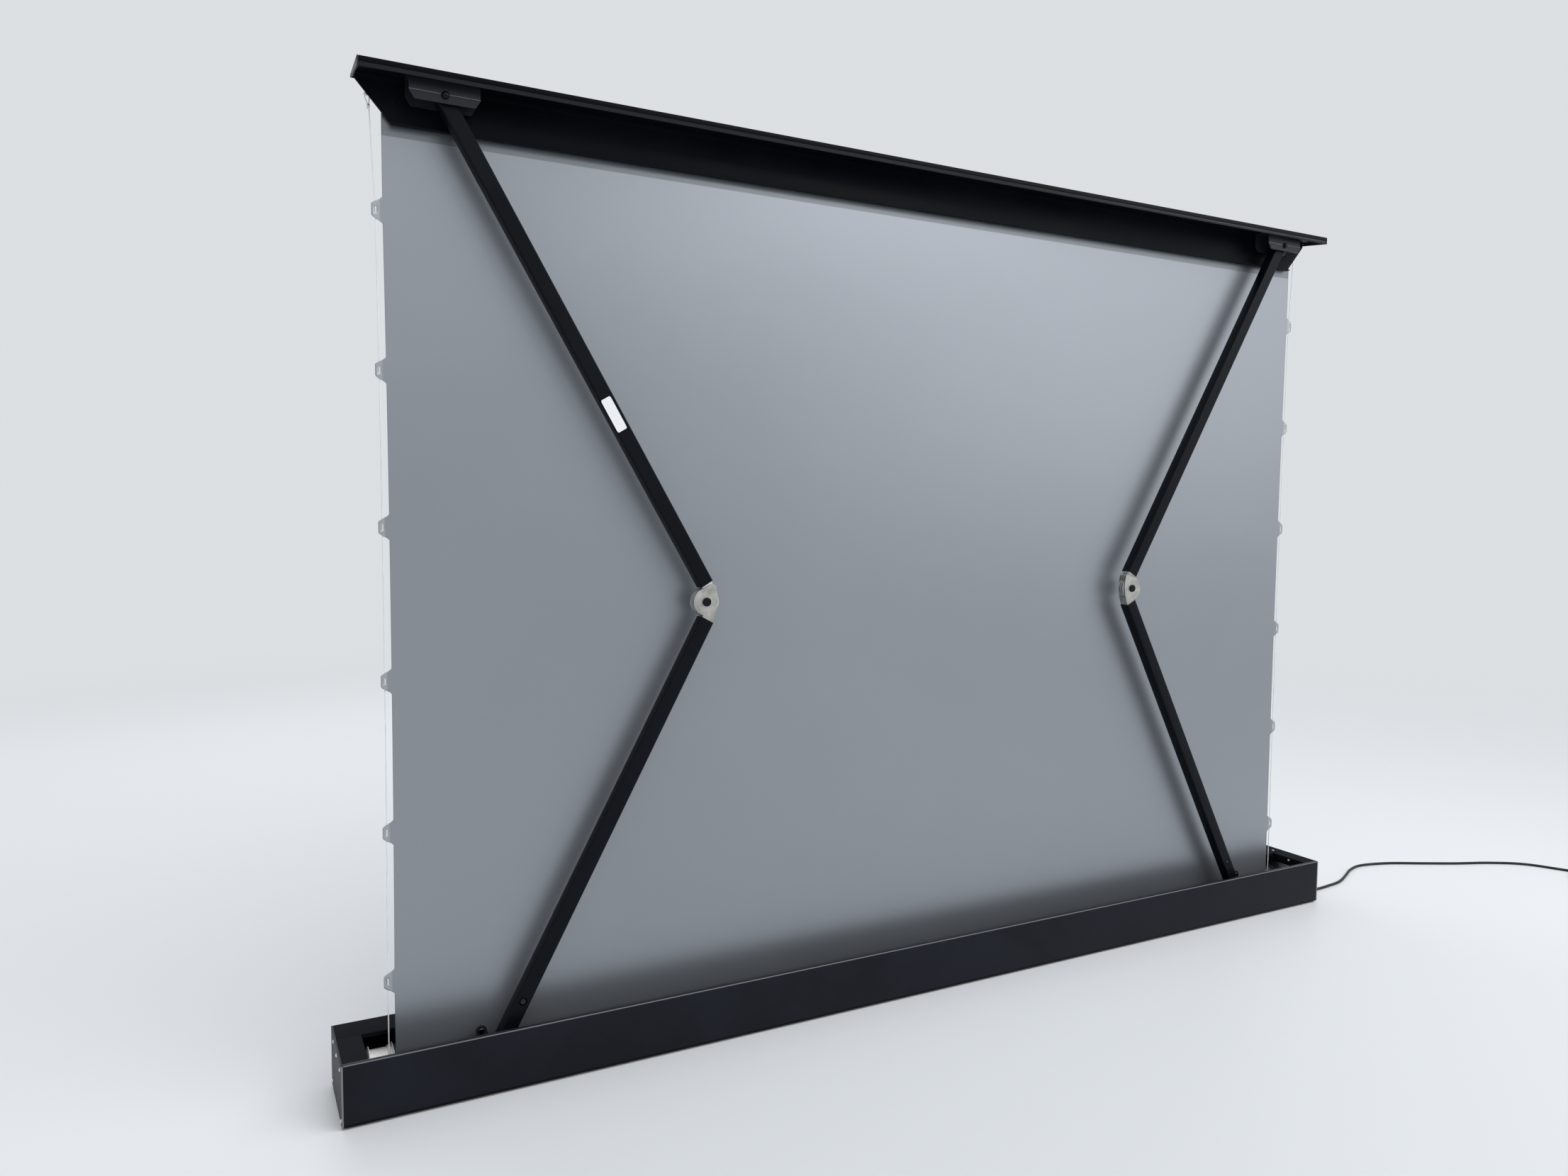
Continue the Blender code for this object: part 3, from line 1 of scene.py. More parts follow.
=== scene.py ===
"""Looks of a floor-rising motorised projection screen, seen from behind at full height.

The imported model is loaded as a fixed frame. Every sub-assembly is a class that makes its surfaces
with numpy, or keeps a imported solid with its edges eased, and gives each its finish. Lengths are in
metres,
+Z is up, the picture side faces -Y, and left and right are the viewer's of the picture.
"""

from __future__ import annotations

import json
import logging
import math
from dataclasses import dataclass, field, replace
from enum import Enum

import bmesh
import bpy
import numpy as np
from bpy.types import (ID, Material, Mesh, Modifier,
                       Node, NodeSocket, NodeTree, Object)
from mathutils import Matrix, Vector


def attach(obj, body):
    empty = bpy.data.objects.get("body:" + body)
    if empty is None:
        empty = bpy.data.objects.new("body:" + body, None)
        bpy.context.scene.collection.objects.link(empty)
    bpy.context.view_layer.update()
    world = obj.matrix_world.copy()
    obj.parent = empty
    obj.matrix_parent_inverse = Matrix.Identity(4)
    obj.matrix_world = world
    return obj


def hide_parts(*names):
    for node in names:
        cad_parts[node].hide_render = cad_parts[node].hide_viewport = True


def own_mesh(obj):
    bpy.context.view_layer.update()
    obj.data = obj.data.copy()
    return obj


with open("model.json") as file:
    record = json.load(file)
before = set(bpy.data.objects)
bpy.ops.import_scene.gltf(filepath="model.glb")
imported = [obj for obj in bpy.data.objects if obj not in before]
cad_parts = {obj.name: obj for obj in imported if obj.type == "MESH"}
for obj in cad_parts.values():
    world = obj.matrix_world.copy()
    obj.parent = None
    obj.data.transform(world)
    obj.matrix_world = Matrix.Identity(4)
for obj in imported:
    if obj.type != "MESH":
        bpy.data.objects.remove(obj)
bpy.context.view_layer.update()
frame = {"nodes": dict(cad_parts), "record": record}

LOG = logging.getLogger("projection_screen")
MM = 0.001
Colour = tuple[float, float, float]
Point = tuple[float, float, float]
Surface = tuple[np.ndarray, np.ndarray]
SIDES = {"right": 1, "left": -1}
WELD = 0.002 * MM
PLANE = math.radians(0.5)
# Widths of the carried solids' eased edges
THIN, FINE, EVEN, BROAD = 0.25 * MM, 0.3 * MM, 0.4 * MM, 0.5 * MM
# Angles in degrees past which an edge stays sharp
HEAD_CREASE, MOULDED_CREASE, TUBE_CREASE = 40.0, 50.0, 40.0
DUST_COLOUR = (0.42, 0.41, 0.39)


class Body(Enum):
    """The bodies that the pieces ride on."""

    BASE = "base"
    ROLLER = "roller"
    LID = "lid"
    RIGHT_LOWER = "right_lower_arm"
    RIGHT_UPPER = "right_upper_arm"
    LEFT_LOWER = "left_lower_arm"
    LEFT_UPPER = "left_upper_arm"


class Axis(Enum):
    """The row's axes, as the column of a point that each one is."""

    X = 0
    Y = 1
    Z = 2


# Surfaces


def grid_quads(rows: int, columns: int, wrap: bool = False) -> np.ndarray:
    """Quads of a grid of points that is stored row by row.

    Args:
        rows: Number of rows of points.
        columns: Number of points in a row.
        wrap: True where the last column meets the first.

    Returns:
        One row of four point numbers for each quad.
    """
    count = columns if wrap else columns - 1
    row, column = np.meshgrid(np.arange(rows - 1), np.arange(count), indexing="ij")
    after = (column + 1) % columns
    corners = (row * columns + column, row * columns + after)
    above = ((row + 1) * columns + after, (row + 1) * columns + column)
    return np.stack([*corners, *above], axis=-1).reshape(-1, 4)


def join_surfaces(surfaces: list[Surface]) -> Surface:
    """Several (points, quads) pairs as one pair, with each one's point numbers moved on.

    Args:
        surfaces: The pairs.

    Returns:
        All points, and all quads.
    """
    starts = np.cumsum([0] + [len(points) for points, _ in surfaces[:-1]])
    points = np.vstack([points for points, _ in surfaces])
    quads = np.vstack([quads + start for (_, quads), start in zip(surfaces, starts)])
    return points, quads


def circle(sides: int) -> tuple[np.ndarray, np.ndarray]:
    """The cosines and the sines of even steps round a full turn."""
    angle = np.linspace(0, 2 * np.pi, sides, endpoint=False)
    return np.cos(angle), np.sin(angle)


def superellipse(power: float | np.ndarray, sides: int) -> tuple[np.ndarray, np.ndarray]:
    """The two coordinates of |x|^power + |y|^power = 1, at even angles.

    Args:
        power: The power, or a column of them.
        sides: Points round the outline.

    Returns:
        The points' first and second coordinates.
    """
    cosine, sine = circle(sides)
    reach = (np.abs(cosine) ** power + np.abs(sine) ** power) ** (-1 / power)
    return cosine * reach, sine * reach


def unit(vectors: np.ndarray) -> np.ndarray:
    """Vectors, one in each row, scaled to length 1."""
    return vectors / np.linalg.norm(vectors, axis=-1, keepdims=True)


def points_at(x: object, y: object, z: object) -> np.ndarray:
    """Points from their coordinates, each of them a number or an array."""
    return np.stack(np.broadcast_arrays(x, y, z), axis=-1)


def skin(points: np.ndarray, wrap: bool = True) -> Surface:
    """A grid of points as a plain list of points and its quads."""
    return points.reshape(-1, 3), grid_quads(*points.shape[:2], wrap)


def link(name: str, data: ID) -> Object:
    """A new object with these data, linked to the scene.

    Args:
        name: The object's name.
        data: Its mesh, lamp or camera data.

    Returns:
        The object.
    """
    item = bpy.data.objects.new(name, data)
    bpy.context.scene.collection.objects.link(item)
    return item


def clean(mesh: Mesh, crease: float, closed: bool = True, merge: bool = False) -> None:
    """Joins a mesh's seams and sets its shading.

    Args:
        mesh: The mesh.
        crease: Angle in degrees past which an edge stays sharp.
        closed: True for a closed skin, whose faces are turned outwards.
        merge: True where faces in one plane become one, else faces without an area go.
    """
    shape = bmesh.new()
    shape.from_mesh(mesh)
    bmesh.ops.remove_doubles(shape, verts=shape.verts, dist=WELD)
    if merge:
        bmesh.ops.dissolve_limit(shape, angle_limit=PLANE, verts=shape.verts, edges=shape.edges)
    else:
        bmesh.ops.dissolve_degenerate(shape, edges=shape.edges, dist=WELD)
    if closed:
        bmesh.ops.recalc_face_normals(shape, faces=shape.faces)
    shape.to_mesh(mesh)
    shape.free()
    mesh.shade_smooth()
    mesh.set_sharp_from_angle(angle=math.radians(crease))


def make_object(name: str, surface: Surface, crease: float = 35.0, closed: bool = True) -> Object:
    """A named object at the origin from a surface, with its seams and poles closed.

    Args:
        name: The object's name.
        surface: Its points in metres, and four point numbers for each face.
        crease: Angle in degrees past which an edge stays sharp.
        closed: True for a closed skin, whose faces are turned outwards.

    Returns:
        The object, linked to the scene.
    """
    mesh = bpy.data.meshes.new(name)
    mesh.from_pydata(surface[0].tolist(), [], surface[1].tolist())
    clean(mesh, crease, closed)
    return link(name, mesh)


def thicken(sheet: Object, thickness: float, offset: float = 0.0) -> Modifier:
    """Gives a sheet its thickness.

    Args:
        sheet: The sheet.
        thickness: Thickness in metres.
        offset: 0 for both sides, or -1 for the back only.

    Returns:
        The modifier that does it.
    """
    wall = sheet.modifiers.new("cloth_thickness", "SOLIDIFY")
    wall.thickness, wall.offset = thickness, offset
    return wall


def tube(path: np.ndarray, radius: float | np.ndarray, sides: int,
         reference: Point = (0.0, 0.0, 1.0)) -> Surface:
    """A round skin along a path, closed at both ends by rings drawn in to a point.

    Each ring is centre + radius * (side * cos(a) + up * sin(a)), where side is square to the path
    and to the reference direction, and up is square to both.

    Args:
        path: Centre points, one row each.
        radius: One radius, or one for each centre point.
        sides: Points round a ring.
        reference: A direction that the path never runs along.

    Returns:
        Points and quads.
    """
    along = unit(np.gradient(path, axis=0))
    side = unit(np.cross(along, np.array(reference)))
    reach = np.pad(np.broadcast_to(np.asarray(radius, float), len(path)), 1)
    up = np.cross(side, along)
    path, side, up = (np.pad(part, ((1, 1), (0, 0)), "edge") for part in (path, side, up))
    cosine, sine = circle(sides)
    ring = side[:, None] * cosine[:, None] + up[:, None] * sine[:, None]
    return skin(path[:, None] + ring * reach[:, None, None])


def turned(profile: np.ndarray, axis: Axis, centre: Point, sides: int) -> Surface:
    """A profile of (along, radius) rows turned about an axis through the centre.

    A point is centre + along * axis + radius * (first * cos(a) + second * sin(a)), where first and
    second are the other two axes.

    Args:
        profile: Rows of (along, radius), from pole to pole or back to where it starts.
        axis: The axis that it turns about.
        centre: Where along is 0.
        sides: Points round a ring.

    Returns:
        Points and quads.
    """
    parts = [profile[:, 1:] * share for share in circle(sides)]
    parts.insert(axis.value, profile[:, :1])
    return skin(points_at(*parts) + np.array(centre))


def rounded_profile(corners: list[Point], steps: int = 4) -> np.ndarray:
    """A chain of (along, radius, rounding) corners with each inner corner cut to a smooth arc.

    Each corner is swapped for a quadratic curve that starts and ends the rounding's length away
    from it: (1-t)^2 * start + 2t(1-t) * corner + t^2 * end.

    Args:
        corners: The corners, each with how far from it the rounding reaches.
        steps: Pieces in each arc.

    Returns:
        Rows of (along, radius).
    """
    table = np.array(corners, float)
    place, reach = table[:, :2], table[:, 2]
    into = place[1:] - place[:-1]
    span = np.linalg.norm(into, axis=1)
    reach = np.minimum(reach, np.pad(np.minimum(span[:-1], span[1:]) * 0.5, 1))[:, None]
    start = place - np.vstack([[0.0, 0.0], unit(into)]) * reach
    end = place + np.vstack([unit(into), [0.0, 0.0]]) * reach
    share = np.linspace(0, 1, steps + 1)[None, :, None]
    curve = (1 - share) ** 2 * start[:, None] + 2 * share * (1 - share) * place[:, None]
    curve = curve + share ** 2 * end[:, None]
    return curve.reshape(-1, 2)


def smooth_path(knots: np.ndarray, spacing: float) -> np.ndarray:
    """Points at an even spacing on a smooth curve through the knots.

    Between two knots the curve is the cubic whose slope at each knot is half the step from the knot
    before it to the knot after it.

    Args:
        knots: Places that the curve passes through.
        spacing: Distance between the points, in metres.

    Returns:
        The points.
    """
    padded = np.vstack([knots[:1], knots, knots[-1:]])
    before, here, after, beyond = padded[:-3], padded[1:-2], padded[2:-1], padded[3:]
    share = np.linspace(0, 1, 16, endpoint=False)[:, None, None]
    dense = 0.5 * (2 * here + (after - before) * share
                   + (2 * before - 5 * here + 4 * after - beyond) * share ** 2
                   + (3 * here - before - 3 * after + beyond) * share ** 3)
    dense = np.vstack([dense.transpose(1, 0, 2).reshape(-1, 3), knots[-1:]])
    run = np.concatenate([[0.0], np.cumsum(np.linalg.norm(np.diff(dense, axis=0), axis=1))])
    target = np.linspace(0, run[-1], max(2, round(run[-1] / spacing)) + 1)
    return np.stack([np.interp(target, run, dense[:, index]) for index in range(3)], axis=1)


# Shader groups and finishes


class Chart:
    """Adds nodes to one node tree and joins their sockets."""

    def __init__(self, tree: NodeTree) -> None:
        """Keeps the tree that the nodes go to, and its shader where it has one."""
        self.tree = tree
        self.shader = tree.nodes.get("Principled BSDF")

    def add(self, kind: str, **settings: object) -> Node:
        """A new node with its settings.

        Args:
            kind: The node's type, without its common first part.
            settings: Properties of the node, and its inputs as feed takes them.

        Returns:
            The node.
        """
        node = self.tree.nodes.new("ShaderNode" + kind)
        for name, value in settings.items():
            if hasattr(node, name):
                setattr(node, name, value)
            else:
                self.feed(node, **{name: value})
        return node

    def feed(self, node: Node, **inputs: object) -> None:
        """Gives a node's inputs their values.

        Args:
            node: The node.
            inputs: A value for each input, whose name has _ for each space.
        """
        for name, value in inputs.items():
            self.give(value, node.inputs[name.replace("_", " ")])

    def give(self, value: object, target: NodeSocket) -> None:
        """Links a socket to an input, or sets the input to a number or colour.

        Args:
            value: A socket, a number or a colour.
            target: The input.
        """
        if isinstance(value, NodeSocket):
            self.join(value, target)
        else:
            target.default_value = (*value, 1.0) if target.type == "RGBA" else value

    def place(self) -> NodeSocket:
        """Where a point lies, in its object's own coordinates."""
        return self.add("TexCoord").outputs["Object"]

    def axes(self) -> list[NodeSocket]:
        """A point's X, Y and Z, in its object's own coordinates."""
        return list(self.add("SeparateXYZ", Vector=self.place()).outputs)

    def group(self, tree: NodeTree, **inputs: float) -> NodeSocket:
        """The result of a shader group that is fed these numbers."""
        return self.add("Group", node_tree=tree, **inputs).outputs[0]

    def join(self, source: NodeSocket, target: NodeSocket) -> None:
        """Links one socket to another."""
        self.tree.links.new(source, target)

    def math(self, operation: str, first: object, second: object = 0.0) -> NodeSocket:
        """The result of a sum of one or two sockets or numbers.

        Args:
            operation: Name of the sum, such as MULTIPLY.
            first: A socket or a number.
            second: A socket or a number.

        Returns:
            The result's socket.
        """
        node = self.add("Math", operation=operation)
        self.give(first, node.inputs[0])
        self.give(second, node.inputs[1])
        return node.outputs[0]

    def mix(self, share: NodeSocket, first: object, second: object) -> NodeSocket:
        """A mix of two colours.

        Args:
            share: Socket that says how much of the second colour shows.
            first: A colour or a socket.
            second: A colour or a socket.

        Returns:
            The mixed colour's socket.
        """
        node = self.add("Mix", data_type="RGBA")
        for index, value in ((0, share), (6, first), (7, second)):
            self.give(value, node.inputs[index])
        return node.outputs[2]

    def spread(self, value: NodeSocket, low: float, high: float, start: float = 0.0,
               end: float = 1.0) -> NodeSocket:
        """A value from start..end stretched to low..high and kept inside it.

        Args:
            value: The socket to stretch.
            low: Result at the start.
            high: Result at the end.
            start: Value that gives low.
            end: Value that gives high.

        Returns:
            The result's socket.
        """
        node = self.add("MapRange", Value=value, From_Min=start, From_Max=end, To_Min=low,
                        To_Max=high)
        return node.outputs["Result"]

    def within(self, value: NodeSocket, low: float, high: float,
               soft: float) -> NodeSocket:
        """A mask of where a value lies between two limits, with soft sides.

        Args:
            value: The socket to look at.
            low: The lower limit.
            high: The upper limit.
            soft: How far a side reaches to each side of its limit.

        Returns:
            The mask's socket.
        """
        rise = self.spread(value, 0.0, 1.0, low - soft, low + soft)
        fall = self.spread(value, 1.0, 0.0, high - soft, high + soft)
        return self.math("MULTIPLY", rise, fall)

    def bump(self, height: NodeSocket, strength: float, depth: float) -> None:
        """Tilts the shader's normal by a height.

        Args:
            height: The height's socket, from 0 to 1.
            strength: How much of the tilt is used.
            depth: Height in metres that 1 stands for.
        """
        node = self.add("Bump", Strength=strength, Distance=depth, Height=height)
        self.feed(self.shader, Normal=node.outputs[0])

    def seen(self) -> NodeSocket:
        """A mask of the rays that come from the camera or from a mirror image."""
        rays = self.add("LightPath").outputs
        return self.math("MAXIMUM", rays["Is Camera Ray"], rays["Is Glossy Ray"])


class Effects:
    """Shader groups that several finishes use, each built once."""

    def __init__(self) -> None:
        """Builds the groups."""
        self.grain = self._grain()
        self.smears = self._smears()
        self.dust = self._dust()
        self.weave = self._weave()
        self.brushed = self._brushed()

    @staticmethod
    def _start(name: str, inputs: dict[str, float], output: str) -> tuple[Chart, dict, Node]:
        """Starts a group.

        Args:
            name: The group's name.
            inputs: Name and first value of each number that goes in.
            output: Name of the value that comes out.

        Returns:
            The chart, the input sockets by name, and the output node.
        """
        tree = bpy.data.node_groups.new(name, "ShaderNodeTree")
        kind = "NodeSocketFloat"
        for label, value in inputs.items():
            socket = tree.interface.new_socket(name=label, in_out="INPUT", socket_type=kind)
            socket.default_value = value
        tree.interface.new_socket(name=output, in_out="OUTPUT", socket_type=kind)
        entry = tree.nodes.new("NodeGroupInput")
        leave = tree.nodes.new("NodeGroupOutput")
        return Chart(tree), {label: entry.outputs[label] for label in inputs}, leave

    def _grain(self) -> NodeTree:
        """Fine even bumps, as in powder coat and moulded plastic.

        Returns:
            The group.
        """
        chart, given, leave = self._start("fine_grain", {"Scale": 900.0}, "Height")
        noise = chart.add("TexNoise", Vector=chart.place(), Scale=given["Scale"], Detail=2.0,
                          Roughness=0.6)
        chart.join(noise.outputs["Fac"], leave.inputs[0])
        return chart.tree

    def _smears(self) -> NodeTree:
        """Broad soft patches, as hands and cloths leave on a dark surface.

        Returns:
            The group.
        """
        chart, given, leave = self._start("handling_smears", {"Scale": 7.0, "Contrast": 0.25},
                                          "Mask")
        where = chart.place()
        bend = chart.add("TexNoise", Vector=where, Scale=2.3, Detail=2.0)
        moved = chart.add("VectorMath", operation="MULTIPLY_ADD")
        moved.inputs[1].default_value = (0.25, 0.25, 0.25)
        chart.join(bend.outputs["Color"], moved.inputs[0])
        chart.join(where, moved.inputs[2])
        noise = chart.add("TexNoise", Vector=moved.outputs[0], Scale=given["Scale"], Detail=4.0,
                          Roughness=0.55)
        centred = chart.math("SUBTRACT", noise.outputs["Fac"], 0.5)
        scaled = chart.math("DIVIDE", centred, given["Contrast"])
        chart.join(chart.math("ADD", scaled, 0.5), leave.inputs[0])
        return chart.tree

    def _dust(self) -> NodeTree:
        """Settled dust: a mask on faces that look up, broken by specks.

        Returns:
            The group.
        """
        chart, given, leave = self._start("settled_dust", {"Amount": 0.1}, "Mask")
        facing = chart.add("SeparateXYZ", Vector=chart.add("NewGeometry").outputs["Normal"])
        up = chart.spread(facing.outputs["Z"], 0.0, 1.0, 0.5, 1.0)
        noise = chart.add("TexNoise", Vector=chart.place(), Scale=420.0, Detail=5.0, Roughness=0.75)
        specks = chart.spread(noise.outputs["Fac"], 0.2, 1.0, 0.52, 0.68)
        chart.join(chart.math("MULTIPLY", chart.math("MULTIPLY", up, specks), given["Amount"]),
                   leave.inputs[0])
        return chart.tree

    def _weave(self) -> NodeTree:
        """Plain weave: two sets of sine threads, across and up, each over and under the other.

        Returns:
            The group.
        """
        chart, given, leave = self._start("cloth_weave", {"Pitch": 0.0006}, "Height")
        across, _, upward = chart.axes()
        turns = chart.math("DIVIDE", 2 * math.pi, given["Pitch"])
        threads = [chart.math("SINE", chart.math("MULTIPLY", along, turns))
                   for along in (across, upward)]
        height = chart.spread(chart.math("MULTIPLY", *threads), 0.0, 1.0, -1.0, 1.0)
        chart.join(height, leave.inputs[0])
        return chart.tree

    def _brushed(self) -> NodeTree:
        """Rolling and brushing lines along X and Z, from noise stretched thirty times.

        Returns:
            The group.
        """
        chart, given, leave = self._start("brushed_lines", {"Scale": 60.0}, "Height")
        stretched = chart.add("Mapping", Vector=chart.place(), Scale=(1.0, 8.0, 30.0),
                              Rotation=(0.0, math.radians(28.0), 0.0))
        noise = chart.add("TexNoise", Vector=stretched.outputs[0], Scale=given["Scale"], Detail=3.0,
                          Roughness=0.6)
        chart.join(noise.outputs["Fac"], leave.inputs[0])
        return chart.tree


def start_material(name: str) -> tuple[Material, Chart]:
    """A new material with its chart.

    Args:
        name: The material's name.

    Returns:
        The material and its chart.
    """
    material = bpy.data.materials.new(name)
    material.use_nodes = True
    return material, Chart(material.node_tree)


@dataclass(frozen=True)
class PaintedStrip:
    """A painted strip of light, shade or paler tone, between two places on each of two axes."""

    first: Axis
    first_range: tuple[float, float]
    second: Axis
    second_range: tuple[float, float]
    colour: Colour
    soft: float = 0.25 * MM

    def mask(self, chart: Chart) -> NodeSocket:
        """The strip as a mask with soft sides.

        Args:
            chart: The material's chart.

        Returns:
            The mask's socket.
        """
        places = chart.axes()
        pairs = ((self.first, self.first_range), (self.second, self.second_range))
        return chart.math("MULTIPLY", *(chart.within(places[axis.value], *limits, self.soft)
                                        for axis, limits in pairs))


@dataclass(frozen=True)
class Finish:
    """What every finish has: a name, a main colour and how rough it is."""

    name: str
    colour: Colour
    roughness: float

    def make(self, effects: Effects) -> Material:
        """The finish as a material.

        Args:
            effects: The shared shader groups.

        Returns:
            The material.
        """
        material, chart = start_material(self.name)
        self.paint(chart, effects)
        return material

    def paint(self, chart: Chart, effects: Effects) -> None:
        """Lays the nodes of this kind of finish on a material's chart."""
        raise NotImplementedError

    def toned(self, share: float) -> Colour:
        """The main colour with a share of its light."""
        return tuple(min(1.0, part * share) for part in self.colour)

    def clouded(self, chart: Chart, clouds: NodeSocket, low: float,
                high: float) -> NodeSocket:
        """The main colour between two shares of its light.

        Args:
            chart: The material's chart.
            clouds: The mask that leads from the first share to the second.
            low: The first share.
            high: The second share.

        Returns:
            The colour's socket.
        """
        return chart.mix(chart.spread(clouds, 0.0, 1.0), self.toned(low), self.toned(high))


@dataclass(frozen=True)
class CoatFinish(Finish):
    """A sprayed, plated or moulded surface: one colour with faint smears, fine grain and dust."""

    metallic: float = 0.0
    shine: float = 0.5
    coat: float = 0.0
    smear: float = 0.05
    smear_scale: float = 7.0
    shade: float = 0.12
    grain_scale: float = 900.0
    grain_depth: float = 0.02 * MM
    grain_strength: float = 0.35
    dust: float = 0.04
    painted_strips: tuple[PaintedStrip, ...] = ()

    def paint(self, chart: Chart, effects: Effects) -> None:
        """Lays smears, the painted strips of light, shade or paler tone, dust and grain.

        Args:
            chart: The material's chart.
            effects: The shared shader groups.
        """
        smears = chart.group(effects.smears, Scale=self.smear_scale)
        dust = chart.group(effects.dust, Amount=self.dust)
        colour = self.clouded(chart, smears, 1 - self.shade, 1 + self.shade)
        # Each painted strip lays a painted highlight, a painted shade line or a paler tone over the
        # colour
        for painted_strip in self.painted_strips:
            colour = chart.mix(painted_strip.mask(chart), colour, painted_strip.colour)
        rough = chart.spread(smears, self.roughness - self.smear, self.roughness + self.smear)
        chart.feed(chart.shader, Base_Color=chart.mix(dust, colour, DUST_COLOUR), Roughness=rough,
                   Metallic=self.metallic, Specular_IOR_Level=self.shine, Coat_Weight=self.coat)
        chart.bump(chart.group(effects.grain, Scale=self.grain_scale), self.grain_strength,
                   self.grain_depth)


@dataclass(frozen=True)
class SteelFinish(Finish):
    """Bare stamped steel: brushing lines, duller blotches and a little staining."""

    stain: Colour
    blotch_scale: float = 55.0
    blotch_contrast: float = 0.35
    line_scale: float = 60.0
    line_strength: float = 0.25
    line_depth: float = 0.02 * MM
    smoother: float = 0.08
    rougher: float = 0.06
    dulling: float = 0.16

    def paint(self, chart: Chart, effects: Effects) -> None:
        """Lays blotches and brushing lines.

        Args:
            chart: The material's chart.
            effects: The shared shader groups.
        """
        blotches = chart.group(effects.smears, Scale=self.blotch_scale,
                               Contrast=self.blotch_contrast)
        lines = chart.group(effects.brushed, Scale=self.line_scale)
        mask = chart.spread(blotches, 0.0, 1.0)
        lined = chart.spread(lines, self.roughness - self.smoother, self.roughness + self.rougher,
                             0.3, 0.7)
        rough = chart.math("ADD", chart.math("MULTIPLY", mask, self.dulling), lined)
        chart.feed(chart.shader, Base_Color=chart.mix(mask, self.colour, self.stain),
                   Roughness=rough, Metallic=1.0)
        chart.bump(lines, self.line_strength, self.line_depth)


@dataclass(frozen=True)
class ClothFinish(Finish):
    """Fabric back: satin grey, darker on top, and tabs painted paler for the light through them."""

    tab_colour: Colour
    tab_from: float
    dark_top_from: float
    metallic: float
    tab_soft: float = 3.0 * MM
    dark_top_soft: float = 0.8 * MM
    dark_top_share: float = 0.62
    cloud: float = 0.03
    cloud_scale: float = 1.6
    cloud_roughness: float = 0.02
    cloud_contrast: float = 0.5
    thread: float = 0.6 * MM
    weave_strength: float = 0.10
    weave_depth: float = 0.01 * MM

    def paint(self, chart: Chart, effects: Effects) -> None:
        """Lays clouds, the darker top band, the tabs' painted light and the weave.

        Args:
            chart: The material's chart.
            effects: The shared shader groups.
        """
        across, _, upward = chart.axes()
        outside = chart.math("ABSOLUTE", across)
        # The tabs are painted paler: painted light that shows through them
        tab = chart.spread(outside, 0.0, 1.0, self.tab_from, self.tab_from + self.tab_soft)
        clouds = chart.group(effects.smears, Scale=self.cloud_scale,
                             Contrast=self.cloud_contrast)
        sheet = self.clouded(chart, clouds, 1 - self.cloud, 1 + self.cloud)
        # Above dark_top_from the sheet is darker
        dark_top = chart.spread(upward, 0.0, 1.0, self.dark_top_from, self.dark_top_from + self.dark_top_soft)
        sheet = chart.mix(dark_top, sheet, self.toned(self.dark_top_share))
        low, high = self.roughness - self.cloud_roughness, self.roughness + self.cloud_roughness
        chart.feed(chart.shader, Base_Color=chart.mix(tab, sheet, self.tab_colour),
                   Metallic=self.metallic, Roughness=chart.spread(clouds, low, high))
        chart.bump(chart.group(effects.weave, Pitch=self.thread), self.weave_strength,
                   self.weave_depth)


@dataclass(frozen=True)
class PictureFinish(Finish):
    """The front of the fabric: a matte pale picture surface inside a black border."""

    border: Colour
    half_width: float
    bottom: float
    top: float
    soft: float = 0.3 * MM
    thread: float = 0.45 * MM
    weave_strength: float = 0.35
    weave_depth: float = 0.04 * MM

    def paint(self, chart: Chart, effects: Effects) -> None:
        """Lays the picture surface, its border and the weave.

        Args:
            chart: The material's chart.
            effects: The shared shader groups.
        """
        across, _, upward = chart.axes()
        beside = chart.within(across, -self.half_width, self.half_width, self.soft)
        between = chart.within(upward, self.bottom, self.top, self.soft)
        inside = chart.math("MULTIPLY", beside, between)
        chart.feed(chart.shader, Base_Color=chart.mix(inside, self.border, self.colour),
                   Roughness=self.roughness)
        chart.bump(chart.group(effects.weave, Pitch=self.thread), self.weave_strength,
                   self.weave_depth)


@dataclass(frozen=True)
class ClearFinish(Finish):
    """A clear sheath over a white core, which lets some light through."""

    transmission: float
    cloud_scale: float = 30.0
    shade: float = 0.1

    def paint(self, chart: Chart, effects: Effects) -> None:
        """Lays faint clouds on a sheath that lets light through.

        Args:
            chart: The material's chart.
            effects: The shared shader groups.
        """
        clouds = chart.group(effects.smears, Scale=self.cloud_scale)
        chart.feed(chart.shader, Base_Color=self.clouded(chart, clouds, 1 - self.shade, 1.0),
                   Roughness=self.roughness, Transmission_Weight=self.transmission)


